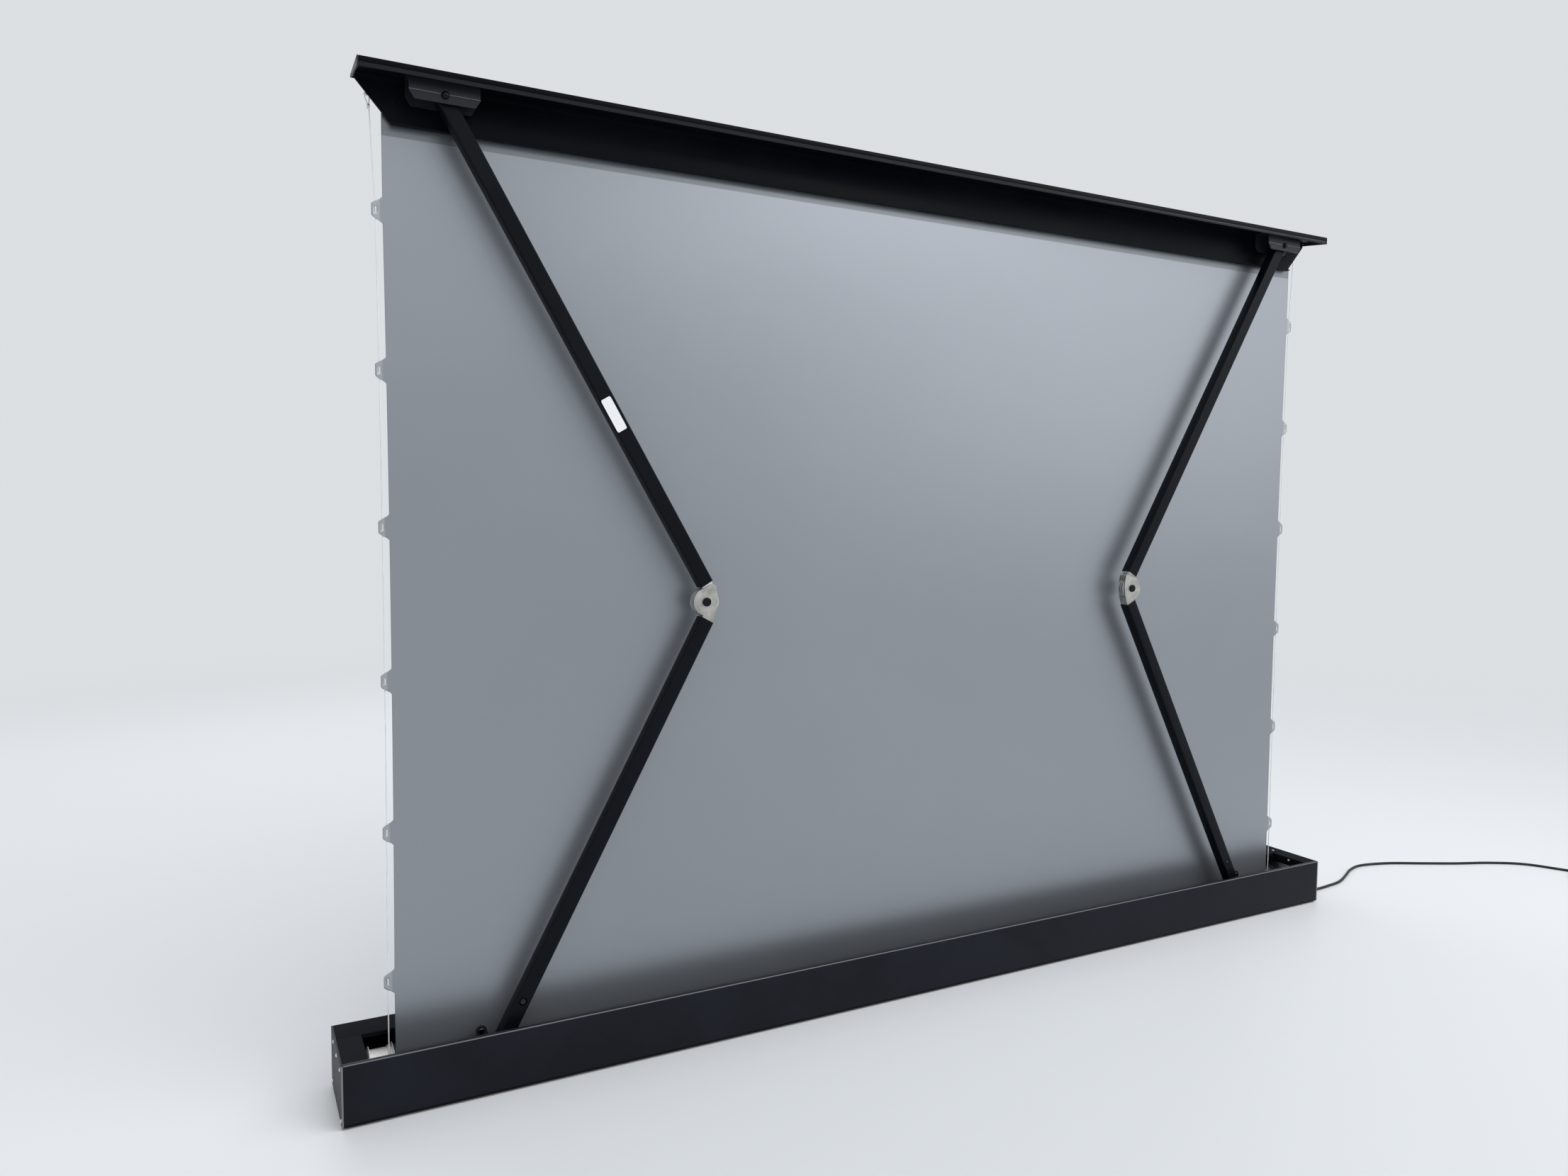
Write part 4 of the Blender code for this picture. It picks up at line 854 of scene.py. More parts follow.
CASING = CoatFinish("casing_powder_coat", (0.0085, 0.0103, 0.0150), 0.42, shine=0.10, dust=0.01,
                    shade=0.18, smear_scale=5.0, grain_scale=1100.0)
BRACKET = CoatFinish("bracket_satin_paint", (0.0150, 0.0160, 0.0205), 0.40, shine=0.2, dust=0.0)
FINISHES = {
    "casing": CASING,
    "arm": CoatFinish("arm_satin_paint", (0.0038, 0.0048, 0.0074), 0.40, shine=0.08, dust=0.0),
    "bracket": BRACKET,
    "lid_cap": CoatFinish("grey_cap_plastic", (0.022, 0.025, 0.028), 0.55, shine=0.15, dust=0.0,
                          grain_scale=700.0),
    "knuckle": SteelFinish("stamped_stainless", (0.52, 0.51, 0.49), 0.36, (0.33, 0.32, 0.295)),
    "zinc": CoatFinish("zinc_plate", (0.60, 0.61, 0.62), 0.30, metallic=1.0, shade=0.08,
                       smear_scale=40.0, dust=0.02),
    "nylon": CoatFinish("white_nylon", (0.90, 0.90, 0.88), 0.42, shade=0.02, dust=0.0),
    "fabric": ClothFinish("grey_coated_back", (0.285, 0.306, 0.336), 0.38, (0.38, 0.40, 0.42),
                          1138.5 * MM, 1671.4 * MM, metallic=0.68),
    "tension_cord": ClearFinish("clear_tension_cord", (0.95, 0.95, 0.95), 0.25, transmission=0.15),
    "aluminium": CoatFinish("drawn_aluminium", (0.66, 0.66, 0.67), 0.32, metallic=1.0, shade=0.06,
                            smear_scale=25.0, dust=0.02),
    "plastic": CoatFinish("black_plastic", (0.011, 0.011, 0.013), 0.42, grain_scale=600.0,
                          grain_depth=0.05 * MM),
    "rubber": CoatFinish("black_rubber", (0.010, 0.010, 0.011), 0.52, shine=0.3, grain_scale=500.0,
                         grain_depth=0.04 * MM, dust=0.03),
    "spring": SteelFinish("spring_steel", (0.42, 0.42, 0.42), 0.34, (0.30, 0.29, 0.28)),
    "window": CoatFinish("dark_red_window", (0.030, 0.004, 0.006), 0.08, coat=0.5, shade=0.02,
                         smear=0.02, grain_depth=0.001 * MM, dust=0.01),
}
# Rear wall: a painted highlight along its rounded top edge, and a nearly black painted shade line
# along its lowest edge over the gap under the casing
REAR_WALL = replace(CASING, name="casing_coat_painted_highlight_and_shade", painted_strips=(
    PaintedStrip(Axis.Y, (82.6 * MM, 90.0 * MM), Axis.Z, (110.3 * MM, 115.0 * MM), (0.15, 0.155, 0.165)),
    PaintedStrip(Axis.Y, (82.0 * MM, 90.0 * MM), Axis.Z, (3.0 * MM, 8.4 * MM), (0.0006, 0.0006, 0.0008))))
COVER = replace(CASING, name="casing_coat_matt_top", roughness=0.62, shine=0.02,
                colour=(0.0065, 0.0080, 0.0100))
# End plates: a paler strip is laid along their rear edge
END_PLATE = replace(CASING, name="end_plate_pale_rear_edge", colour=(0.030, 0.032, 0.036), roughness=0.5,
                    painted_strips=(PaintedStrip(Axis.Y, (83.2 * MM, 90.0 * MM), Axis.Z, (4.0 * MM, 111.0 * MM),
                                  (0.20, 0.205, 0.21)),))
# Lid: the lower band of its rear lip is painted lighter, a painted highlight
LID = replace(CASING, name="lid_coat_painted_highlight_band", colour=(0.0028, 0.0034, 0.0052), shine=0.07, painted_strips=(
    PaintedStrip(Axis.Y, (70.0 * MM, 80.0 * MM), Axis.Z, (1751.3 * MM, 1758.2 * MM),
          (0.0145, 0.017, 0.020)),))
BAR = replace(CASING, name="bar_coat", colour=(0.0034, 0.0041, 0.0066), shine=0.06)
# Lid brackets: a painted highlight along the fold line
BRACKET_FOLD_HIGHLIGHT = replace(BRACKET, name="bracket_painted_fold_highlight", painted_strips=(
    PaintedStrip(Axis.Z, (1735.5 * MM, 1736.6 * MM), Axis.Y, (55.0 * MM, 60.0 * MM), (0.26, 0.26, 0.29)),))
LUG_BOLT = CoatFinish("blackened_bolt", (0.065, 0.065, 0.070), 0.20, metallic=1.0, shade=0.05,
                      dust=0.0)
PIN_CAP = CoatFinish("black_pin_cap", (0.007, 0.007, 0.009), 0.50, shine=0.10, dust=0.0)
# A lighter copy of the knuckle steel for the upper knuckles: painted light for the bright band that
# their faces catch
LIT_KNUCKLE_STEEL = SteelFinish("stainless_painted_light", (0.68, 0.68, 0.68), 0.30, (0.52, 0.52, 0.51))
# A dark copy of the drums' white nylon for the left drum: painted shade for the shadow it sits in
SHADED_DRUM = CoatFinish("nylon_painted_shade", (0.045, 0.048, 0.052), 0.40, shade=0.05, dust=0.0)
PICTURE = PictureFinish("picture_surface", (0.62, 0.63, 0.64), 0.8, (0.010, 0.010, 0.011),
                        1107 * MM, 437 * MM, 1682 * MM)
LABEL = CoatFinish("bare_label_paper", (0.88, 0.89, 0.90), 0.50, shade=0.02, grain_scale=1500.0,
                   grain_depth=0.01 * MM, dust=0.0)
SCREW = CoatFinish("bright_screw", (0.72, 0.72, 0.73), 0.28, metallic=1.0, shade=0.10,
                   smear_scale=60.0, dust=0.0)
PIN = CoatFinish("nickel_pins", (0.66, 0.63, 0.56), 0.22, metallic=1.0, shade=0.08, dust=0.01)
GLOSS = CoatFinish("black_dome_screw", (0.003, 0.003, 0.004), 0.10, shine=0.14, shade=0.05,
                   smear=0.02, grain_depth=0.001 * MM, dust=0.0)


class Workshop:
    """Keeps the materials, and puts every finished piece on its body."""

    def __init__(self) -> None:
        """Builds the shader groups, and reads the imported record's bodies and slots."""
        self.effects = Effects()
        self.made: dict[str, Material] = {}
        record = frame["record"]
        bodies = record["behaviour"]["bodies"]
        self.body_of = {node: body for body, nodes in bodies.items() for node in nodes}
        self.slot_of = {row["node"]: row["material_slot"] for row in record["subparts"]}
        self.count = 0

    def material(self, finish: Finish) -> Material:
        """The material of a finish, made at its first use.

        Args:
            finish: The finish.

        Returns:
            Its material.
        """
        if finish.name not in self.made:
            self.made[finish.name] = finish.make(self.effects)
        return self.made[finish.name]

    def seat(self, piece: Object, body: Body, finish: Finish | None = None,
             slot: str | None = None, replaces: tuple[str, ...] = ()) -> Object:
        """Dresses a piece, puts it on its body and reports it.

        Args:
            piece: The finished object.
            body: The body that it rides on.
            finish: Its finish, or None where the slot gives it.
            slot: The record's material slot that it takes its finish from.
            replaces: CAD nodes that it stands for.

        Returns:
            The piece.
        """
        piece.data.materials.clear()
        piece.data.materials.append(self.material(finish or FINISHES[slot]))
        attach(piece, body.value)
        if replaces:
            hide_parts(*replaces)
        self.count += 1
        LOG.info("%s rides on %s", piece.name, body.value)
        return piece

    def new(self, name: str, surface: Surface, body: Body, crease: float = 35.0,
            closed: bool = True, **dress: object) -> Object:
        """Makes a piece from a surface, dresses it and puts it on its body.

        Args:
            name: The piece's name.
            surface: Its points and quads.
            body: The body that it rides on.
            crease: Angle in degrees past which an edge stays sharp.
            closed: True for a closed skin.
            dress: Its finish, slot and replaced nodes, as seat takes them.

        Returns:
            The piece.
        """
        return self.seat(make_object(name, surface, crease, closed), body, **dress)

    def carry(self, node: str, edge: float, segments: int = 2, crease: float = 32.0,
              finish: Finish | None = None) -> Object:
        """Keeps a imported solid's shape in a merged copy whose sharp edges are eased.

        Args:
            node: The CAD node.
            edge: Width of the eased edges; 0 leaves them sharp.
            segments: Faces across an eased edge.
            crease: Angle in degrees past which an edge is eased and shaded sharp.
            finish: Its finish, or None where the node's slot gives it.

        Returns:
            The piece, in place of the node.
        """
        mesh = frame["nodes"][node].data.copy()
        mesh.name = "finished_" + node
        clean(mesh, crease, merge=True)
        piece = link("finished_" + node, mesh)
        if edge > 0:
            bevel = piece.modifiers.new("eased_edges", "BEVEL")
            bevel.width, bevel.segments = edge, segments
            bevel.limit_method, bevel.angle_limit = "ANGLE", math.radians(crease)
            bevel.harden_normals = True
        return self.seat(piece, Body(self.body_of[node]), finish, self.slot_of[node], (node,))


@dataclass
class Assembly:
    """A sub-assembly, with the workshop that dresses and seats its pieces."""

    shop: Workshop

    def carry(self, edge: float, *nodes: str, **dress: object) -> None:
        """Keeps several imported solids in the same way.

        Args:
            edge: Width of the eased edges.
            nodes: The CAD nodes; one that starts with _ is kept on both sides.
            dress: A finish or a crease, as the workshop's carry takes them.
        """
        for node in nodes:
            for side in SIDES if node.startswith("_") else ("",):
                self.shop.carry(side + node, edge, **dress)


# Floor, light and camera


@dataclass
class Studio:
    """The camera at the photograph's place, a pale floor without an edge, and soft light."""

    lens: float = 25.151
    sensor: float = 36.0
    clip_end: float = 200.0
    camera_place: Point = (1.4062, 1.9936, 1.0394)
    camera_forward: Point = (-0.4625, -0.8841, -0.0672)
    camera_right: Point = (-0.8861, 0.4635, 0.0)
    camera_roll: float = 0.0085
    backdrop: Colour = (0.715, 0.740, 0.765)
    fill: Colour = (0.485, 0.50, 0.52)
    floor_colour: Colour = (0.79, 0.81, 0.83)
    floor_roughness: float = 0.42
    floor_shine: float = 0.3
    floor_radius: float = 40.0
    floor_fade_start: float = 2.2
    floor_fade_end: float = 7.0
    daylight: float = 1.25
    daylight_spread: float = math.radians(70)
    daylight_turn: Point = (math.radians(-31), math.radians(-10), 0.0)
    # Place, target, width and height, and watts of each lamp
    lamps: dict[str, tuple] = field(default_factory=lambda: {
        "ceiling_strip": ((-1.9, 1.7, 2.9), (-0.4, 0.1, 0.2), (3.6, 0.22), 26.0),
        "room_light": ((-3.7, 3.5, 2.3), (-0.5, 0.0, 0.9), (3.2, 2.4), 26.0),
        "picture_side_light": ((1.2, -4.0, 2.8), (0.0, 0.0, 0.7), (3.6, 2.4), 30.0)})

    def build_camera(self) -> None:
        """Places the camera from its forward and right directions, turned by its small roll."""
        forward = Vector(self.camera_forward).normalized()
        right = Vector(self.camera_right).normalized()
        up = right.cross(forward).normalized()
        right = forward.cross(up).normalized()
        cosine, sine = math.cos(self.camera_roll), math.sin(self.camera_roll)
        rolled = (right * cosine + up * sine, up * cosine - right * sine, -forward)
        data = bpy.data.cameras.new("camera")
        data.lens, data.sensor_width, data.clip_end = self.lens, self.sensor, self.clip_end
        camera = link("camera", data)
        turn = Matrix(rolled).transposed().to_4x4()
        camera.matrix_world = Matrix.Translation(self.camera_place) @ turn
        bpy.context.scene.camera = camera

    def build_floor(self) -> None:
        """A round floor on polar rings, whose material fades into the backdrop with distance."""
        ring = np.linspace(0, 1, 24) ** 2 * self.floor_radius
        cosine, sine = circle(64)
        points = points_at(ring[:, None] * cosine, ring[:, None] * sine, 0.0)
        floor = make_object("floor", skin(points), closed=False)
        material, chart = start_material("pale_floor")
        chart.feed(chart.shader, Base_Color=self.floor_colour, Roughness=self.floor_roughness,
                   Specular_IOR_Level=self.floor_shine)
        reach = chart.add("VectorMath", operation="LENGTH")
        chart.join(chart.place(), reach.inputs[0])
        far = chart.spread(reach.outputs["Value"], 0.0, 1.0, self.floor_fade_start,
                           self.floor_fade_end)
        glow = chart.add("Emission", Color=self.backdrop)
        blend = chart.add("MixShader")
        chart.join(chart.math("MULTIPLY", far, chart.seen()), blend.inputs[0])
        chart.join(chart.shader.outputs[0], blend.inputs[1])
        chart.join(glow.outputs[0], blend.inputs[2])
        output = material.node_tree.nodes["Material Output"]
        chart.join(blend.outputs[0], output.inputs["Surface"])
        floor.data.materials.append(material)

    def build_light(self) -> None:
        """A dim world that shows the backdrop where it is seen, wide daylight and three lamps."""
        world = bpy.data.worlds.new("pale_room")
        world.use_nodes = True
        chart = Chart(world.node_tree)
        through = chart.add("LightPath").outputs["Is Transmission Ray"]
        seen = chart.math("MAXIMUM", chart.seen(), through)
        colour = chart.mix(seen, self.fill, self.backdrop)
        chart.feed(world.node_tree.nodes["Background"], Color=colour)
        bpy.context.scene.world = world
        data = bpy.data.lights.new("daylight", "SUN")
        data.energy, data.angle = self.daylight, self.daylight_spread
        link("daylight", data).rotation_euler = self.daylight_turn
        for name, (place, target, size, power) in self.lamps.items():
            self.add_lamp(name, place, target, size, power)

    @staticmethod
    def add_lamp(name: str, place: Point, target: Point, size: tuple[float, float],
                 power: float) -> None:
        """A broad rectangular lamp.

        Args:
            name: The lamp's name.
            place: Where it stands.
            target: What it points at.
            size: Its width and height.
            power: Its power in watts.
        """
        data = bpy.data.lights.new(name, "AREA")
        data.shape = "RECTANGLE"
        data.size, data.size_y = size
        data.energy = power
        lamp = link(name, data)
        lamp.location = place
        lamp.rotation_euler = (Vector(target) - Vector(place)).to_track_quat("-Z", "Y").to_euler()

    def build(self) -> None:
        """Builds the camera, the floor and the light."""
        self.build_camera()
        self.build_floor()
        self.build_light()
        bpy.context.scene.view_settings.view_transform = "Standard"


# Power lead

# The visible run of the lead along the floor, from the gland to the coil
LEAD_ROUTE = (
    (-1.2625, 0.0290, 0.0240), (-1.2720, 0.0288, 0.0215), (-1.2850, 0.0276, 0.0135),
    (-1.3000, 0.0258, 0.0064), (-1.3200, 0.0236, 0.0038), (-1.3700, 0.0195, 0.0036),
    (-1.4340, 0.0100, 0.0036), (-1.5000, -0.0170, 0.0036), (-1.5620, -0.0450, 0.0036),
    (-1.6280, -0.0570, 0.0036), (-1.7220, -0.0336, 0.0036), (-1.8150, 0.0130, 0.0036),
    (-1.9050, 0.0580, 0.0036), (-2.0060, 0.1010, 0.0036), (-2.0880, 0.1560, 0.0036),
    (-2.1340, 0.2320, 0.0036),
)


@dataclass
class PowerLead(Assembly):
    """The power lead: one unbroken cord from the gland to a tied coil, and its two-pin plug."""

    radius: float = 3.5 * MM
    length: float = 2.62
    casing_end: float = -1235.0 * MM
    exit_y: float = 29.0 * MM
    exit_z: float = 24.0 * MM
    coil_centre: tuple[float, float] = (-2.123, 0.336)
    coil_middle: float = 38.5 * MM
    coil_step: float = 7.6 * MM
    coil_turns: int = 3
    coil_start: float = math.radians(206)
    coil_low: float = 4.5 * MM
    tail: float = 48.0 * MM
    start_inside: float = 1.0 * MM
    tie_edge: float = 0.15 * MM
    cord_sides: int = 16
    gland_sides: int = 40
    plug_sides: int = 48
    pin_sides: int = 24
    gland_root: float = 7.0 * MM
    gland_tip: float = 4.9 * MM
    gland_length: float = 24.0 * MM
    gland_ribs: int = 6
    rib_depth: float = 0.55 * MM
    flange_radius: float = 9.0 * MM
    relief: float = 22.0 * MM
    plug_length: float = 42.0 * MM
    plug_width: float = 30.0 * MM
    plug_height: float = 20.0 * MM
    neck: tuple[float, float] = (3.8 * MM, 5.2 * MM)
    grip_depth: float = 0.35 * MM
    grip_ribs: int = 5
    pin_radius: float = 2.2 * MM
    pin_length: float = 19.0 * MM
    pin_spacing: float = 19.0 * MM

    def coil_path(self) -> np.ndarray:
        """The coil's centre line, ending in a short straight tail.

        The radius falls by a step a turn and grows again, the height rises by a step in the half
        turn where the spiral reverses, and the tail eases to half the plug's height.

        Returns:
            The points.
        """
        turns = self.coil_turns
        turn = np.linspace(0, 2 * turns, 2 * turns * 48 + 1)
        outer = self.coil_middle + self.coil_step * turns / 2
        reach = outer - self.coil_step * np.minimum(turn, 2 * turns - turn)
        climb = np.clip(2 * (turn - turns) + 0.5, 0, 1)
        height = self.coil_low + self.coil_step * (0.5 - 0.5 * np.cos(np.pi * climb))
        angle = self.coil_start - 2 * np.pi * turn
        points = points_at(self.coil_centre[0] + reach * np.cos(angle),
                           self.coil_centre[1] + reach * np.sin(angle), height)
        leaving = unit(points[-1] - points[-2])
        share = np.linspace(0, 1, 13)[1:, None]
        drop = (self.plug_height / 2 - points[-1, 2]) * (0.5 - 0.5 * np.cos(np.pi * share))
        lift = np.array([[0.0, 0.0, 1.0]])
        return np.vstack([points, points[-1] + leaving * self.tail * share + lift * drop])

    def whole_path(self) -> np.ndarray:
        """The cord's centre line from inside the gland, along the floor, to the plug.

        Returns:
            The points.
        """
        coil = self.coil_path()
        before = coil[0] - unit(coil[1] - coil[0]) * self.coil_middle
        knots = np.vstack([np.array(LEAD_ROUTE), before, coil[0]])
        inside = np.array([[self.casing_end - self.start_inside, self.exit_y, self.exit_z]])
        straight = np.linspace(inside[0], knots[0], 6)[:-1]
        return np.vstack([straight, smooth_path(knots, 8 * MM)[:-1], coil])

    def gland(self) -> Surface:
        """The ribbed strain relief: a cone whose radius dips by a cosine at each of its slots.

        Returns:
            Points and quads.
        """
        along = np.linspace(0, 1, 81)
        root, tip, wide = self.gland_root, self.gland_tip, self.flange_radius
        slots = -np.cos(2 * np.pi * self.gland_ribs * along)
        dip = self.rib_depth * np.clip(slots * 1.6 - 0.4, 0, 1)
        cone = root + (tip - root) * along - dip
        back, front = -0.3 * MM, -3.0 * MM
        end = front - self.gland_length
        bore = self.radius + 0.25 * MM
        flange = rounded_profile([(back, bore, 0), (back, wide, 0.3 * MM), (front, wide, 0.8 * MM),
                                  (front, root, 0)])
        nose = np.array([[end, tip - 0.2 * MM], [end, bore], [back, bore]])
        sides = np.stack([front - along * self.gland_length, cone], axis=1)
        profile = np.vstack([flange, sides, nose])
        return turned(profile, Axis.X, (self.casing_end, self.exit_y, self.exit_z),
                      self.gland_sides)

    def plug_parts(self, end: np.ndarray, ahead: np.ndarray) -> tuple[Surface, Surface]:
        """The plug's moulded body and its two pins.

        The body is a loft of superellipses, |x/a|^n + |y/b|^n = 1, whose half sizes and power n
        change along it, with five shallow finger ribs on its flanks.

        Args:
            end: Where the cord ends.
            ahead: The plug's direction along the floor.

        Returns:
            The body's and the pins' (points, quads).
        """
        side = np.array([-ahead[1], ahead[0], 0.0])
        up = np.array([0.0, 0.0, 1.0])
        start = self.relief
        stop = self.relief + self.plug_length
        stations = np.array([0.0, 0.35, 0.7, 0.92, 1.0]) * start
        body = start + np.linspace(0.0, 1.0, 41)[1:] * self.plug_length
        along = np.concatenate([stations, body])
        share = np.clip((along - start) / self.plug_length, 0, 1)
        neck = np.interp(along, [0, start], self.neck)
        swell = np.sin(np.pi / 2 * np.clip(share / 0.3, 0, 1)) ** 0.7
        grip = np.clip((share - 0.25) / 0.5, 0, 1)
        ribs = self.grip_depth * np.sin(2 * np.pi * self.grip_ribs * grip) ** 2
        nose = 1 - 0.10 * np.clip((share - 0.93) / 0.07, 0, 1) ** 2
        wide = (neck + (self.plug_width / 2 - neck) * swell) * nose - ribs
        high = (neck + (self.plug_height / 2 - neck) * swell) * nose
        power = 2 + 2.2 * swell
        first, second = superellipse(power[:, None], self.plug_sides)
        across, lift = (np.pad(part, ((1, 1), (0, 0)))
                        for part in (wide[:, None] * first, high[:, None] * second))
        along = np.pad(along, 1, "edge")
        points = end + ahead * along[:, None, None] + side * across[..., None]
        points = points + up * lift[..., None]
        pins = []
        for sign in (-1, 1):
            base = end + side * (sign * self.pin_spacing / 2)
            tip = stop + self.pin_length
            run = np.array([stop - 2 * MM, stop, tip - 2 * MM, tip - 0.9 * MM, tip - 0.2 * MM])
            reach = self.pin_radius * np.array([1.0, 1.0, 1.0, 0.86, 0.5])
            pins.append(tube(base + ahead * run[:, None], reach, self.pin_sides))
        return skin(points), join_surfaces(pins)

    def build(self) -> None:
        path = self.whole_path()
        ahead = unit((path[-1] - path[-2]) * np.array([1.0, 1.0, 0.0]))
        moulding, pins = self.plug_parts(path[-1], ahead)
        cord = self.shop.new("power_lead", tube(path, self.radius, self.cord_sides), Body.BASE,
                             slot="rubber", replaces=("power_cord", "power_cord_coil"))
        gland, plug = (self.shop.new(name, surface, Body.BASE, MOULDED_CREASE, slot="rubber",
                                     replaces=(node,))
                       for name, surface, node in (("strain_relief", self.gland(), "cable_gland"),
                                                   ("plug_moulding", moulding, "power_plug")))
        prongs = self.shop.new("plug_pins", pins, Body.BASE, finish=PIN)
        tie = self.shop.carry("cord_tie", self.tie_edge)


# Screws


@dataclass(frozen=True)
class ScrewHead:
    """A low domed screw head with a cross recess."""

    radius: float = 3.4 * MM
    height: float = 1.7 * MM
    arm_reach: float = 1.9 * MM
    arm_half: float = 0.42 * MM
    recess: float = 1.0 * MM
    sink: float = 0.02 * MM
    side_wall: float = 0.25 * MM
    end_wall: float = 0.35 * MM
    dome_power: float = 0.6
    rings: int = 25
    sides: int = 64

    def surface(self, place: Point, axis: Axis, direction: int, turn: float) -> Surface:
        """One head on a flat face.

        The height over a disc of rings is a dome, height * (1 - r^2)^0.6, less the recess where a
        point lies in either arm of the cross, and a flat back closes it.

        Args:
            place: Middle of the head on its face.
            axis: The axis that it points along.
            direction: 1 or -1 along that axis.
            turn: Angle of the cross in radians.

        Returns:
            Points and quads.
        """
        share = np.linspace(0, 1, self.rings)[:, None]
        across, upward = (self.radius * share * part for part in circle(self.sides))
        depth = np.maximum(self.cross_arm(across, upward), self.cross_arm(upward, across))
        dome = np.clip(1 - share ** 2, 0, 1) ** self.dome_power
        level = self.height * dome - self.recess * depth
        across, upward = (np.pad(part, ((0, 1), (0, 0))) for part in (across, upward))
        level = np.pad(level, ((0, 1), (0, 0)), constant_values=-self.sink)
        cosine, sine = math.cos(turn), math.sin(turn)
        parts = [across * cosine - upward * sine, across * sine + upward * cosine]
        parts.insert(axis.value, level * direction)
        return skin(points_at(*parts) + np.array(place))

    def cross_arm(self, along: np.ndarray, across: np.ndarray) -> np.ndarray:
        """How deep a point lies in one arm of the cross, from 0 to 1, with sloped walls."""
        inside = np.clip((self.arm_half - np.abs(across)) / self.side_wall + 0.5, 0, 1)
        return inside * np.clip((self.arm_reach - np.abs(along)) / self.end_wall, 0, 1)


# Casing


@dataclass
class Casing(Assembly):
    """The long floor casing with its covers, end plates, feet and screws."""

    half_length: float = 1235.0 * MM
    end_screws: tuple[tuple[float, float], ...] = (
        (-45.3 * MM, 98.0 * MM), (9.2 * MM, 98.0 * MM), (64.7 * MM, 98.0 * MM),
        (-74.5 * MM, 13.0 * MM), (74.5 * MM, 13.0 * MM),
    )
    ledge_screw: Point = (-1211.0 * MM, -39.3 * MM, 112.0 * MM)
    flange_screw: Point = (-1191.0 * MM, 26.2 * MM, 104.5 * MM)
    screw_turn: float = 0.7
    end_head: ScrewHead = ScrewHead()
    flat_head: ScrewHead = ScrewHead(3.2 * MM, 1.0 * MM, arm_reach=1.6 * MM, recess=0.7 * MM)

    def build_screws(self) -> None:
        """Screws on both end plates, and the two that show at the left end's opening."""
        for side, sign in SIDES.items():
            heads = [self.end_head.surface((sign * self.half_length, y, z), Axis.X, sign,
                                           self.screw_turn * index + sign)
                     for index, (y, z) in enumerate(self.end_screws)]
            self.shop.new(side + "_end_plate_screws", join_surfaces(heads), Body.BASE, HEAD_CREASE,
                          finish=SCREW)
        heads = [self.flat_head.surface(self.ledge_screw, Axis.Z, 1, 0.5),
                 self.flat_head.surface(self.flange_screw, Axis.X, 1, 1.1)]
        self.shop.new("opening_screws", join_surfaces(heads), Body.BASE, HEAD_CREASE, finish=SCREW)

    def build(self) -> None:
        """Builds the casing."""
        self.carry(FINE, "base_bottom_tray", "control_box", "receiver_window", "front_foot_strip",
                   "rear_foot_strip")
        self.carry(FINE, "base_front_profile", finish=COVER)
        # The rear wall's finish carries a painted highlight and a painted shade line
        self.carry(FINE, "base_rear_profile", finish=REAR_WALL)
        self.carry(BROAD, "_end_cap", finish=END_PLATE)
        self.carry(EVEN, "_top_cover", finish=COVER)
        self.carry(EVEN, "_roller_bracket", "_base_pivot")
        self.carry(BROAD, "_arm_bracket")
        self.carry(FINE, "_lug_bolt", finish=LUG_BOLT)
        self.build_screws()


# Roller


@dataclass
class RollerUnit(Assembly):
    """The roller with its wound fabric, cord drums, drive wheel and motor."""

    centre_y: float = -30.7 * MM
    centre_z: float = 50.0 * MM
    half_width: float = 1135.5 * MM
    first_layer: float = 25.55 * MM
    layer_step: float = 0.55 * MM
    cloth: float = 0.42 * MM
    turns: float = 2.09
    cord_radius: float = 1.1 * MM
    cord_reach: float = 25.85 * MM
    cord_start: float = 1147.2 * MM
    cord_turns: float = 3.0
    cord_pitch: float = -2.4 * MM

    def build_wound_fabric(self) -> None:
        """The last layers of fabric: a spiral whose radius grows by a layer step each turn."""
        turn = np.linspace(0, self.turns, 140)
        reach = self.first_layer + self.layer_step * turn
        angle = 2 * np.pi * (turn - self.turns)
        across = np.linspace(-self.half_width, self.half_width, 25)
        points = points_at(across, (self.centre_y + reach * np.cos(angle))[:, None],
                           (self.centre_z + reach * np.sin(angle))[:, None])
        sheet = self.shop.new("wound_layers", skin(points, False), Body.ROLLER, closed=False,
                              slot="fabric", replaces=("wound_fabric",))
        thicken(sheet, self.cloth)

    def build_cord_turns(self) -> None:
        """The tension cords' last turns on the drums, as even helices."""
        turn = np.linspace(0, self.cord_turns, 161)
        angle = -2 * np.pi * turn
        for side, sign in SIDES.items():
            path = points_at(sign * (self.cord_start + self.cord_pitch * turn),
                             self.centre_y + self.cord_reach * np.cos(angle),
                             self.centre_z + self.cord_reach * np.sin(angle))
            self.shop.new(side + "_cord_turns", tube(path, self.cord_radius, 10, (1.0, 0.0, 0.0)),
                          Body.ROLLER, slot="tension_cord")

    def build(self) -> None:
        """Builds the roller and what turns with it."""
        self.carry(FINE, "roller_tube", "drive_wheel", "tubular_motor", "idler_pin",
                   "right_cord_drum")
        # The left drum is painted dark, painted shade
        self.carry(FINE, "left_cord_drum", finish=SHADED_DRUM)
        self.build_wound_fabric()
        self.build_cord_turns()


# Arms


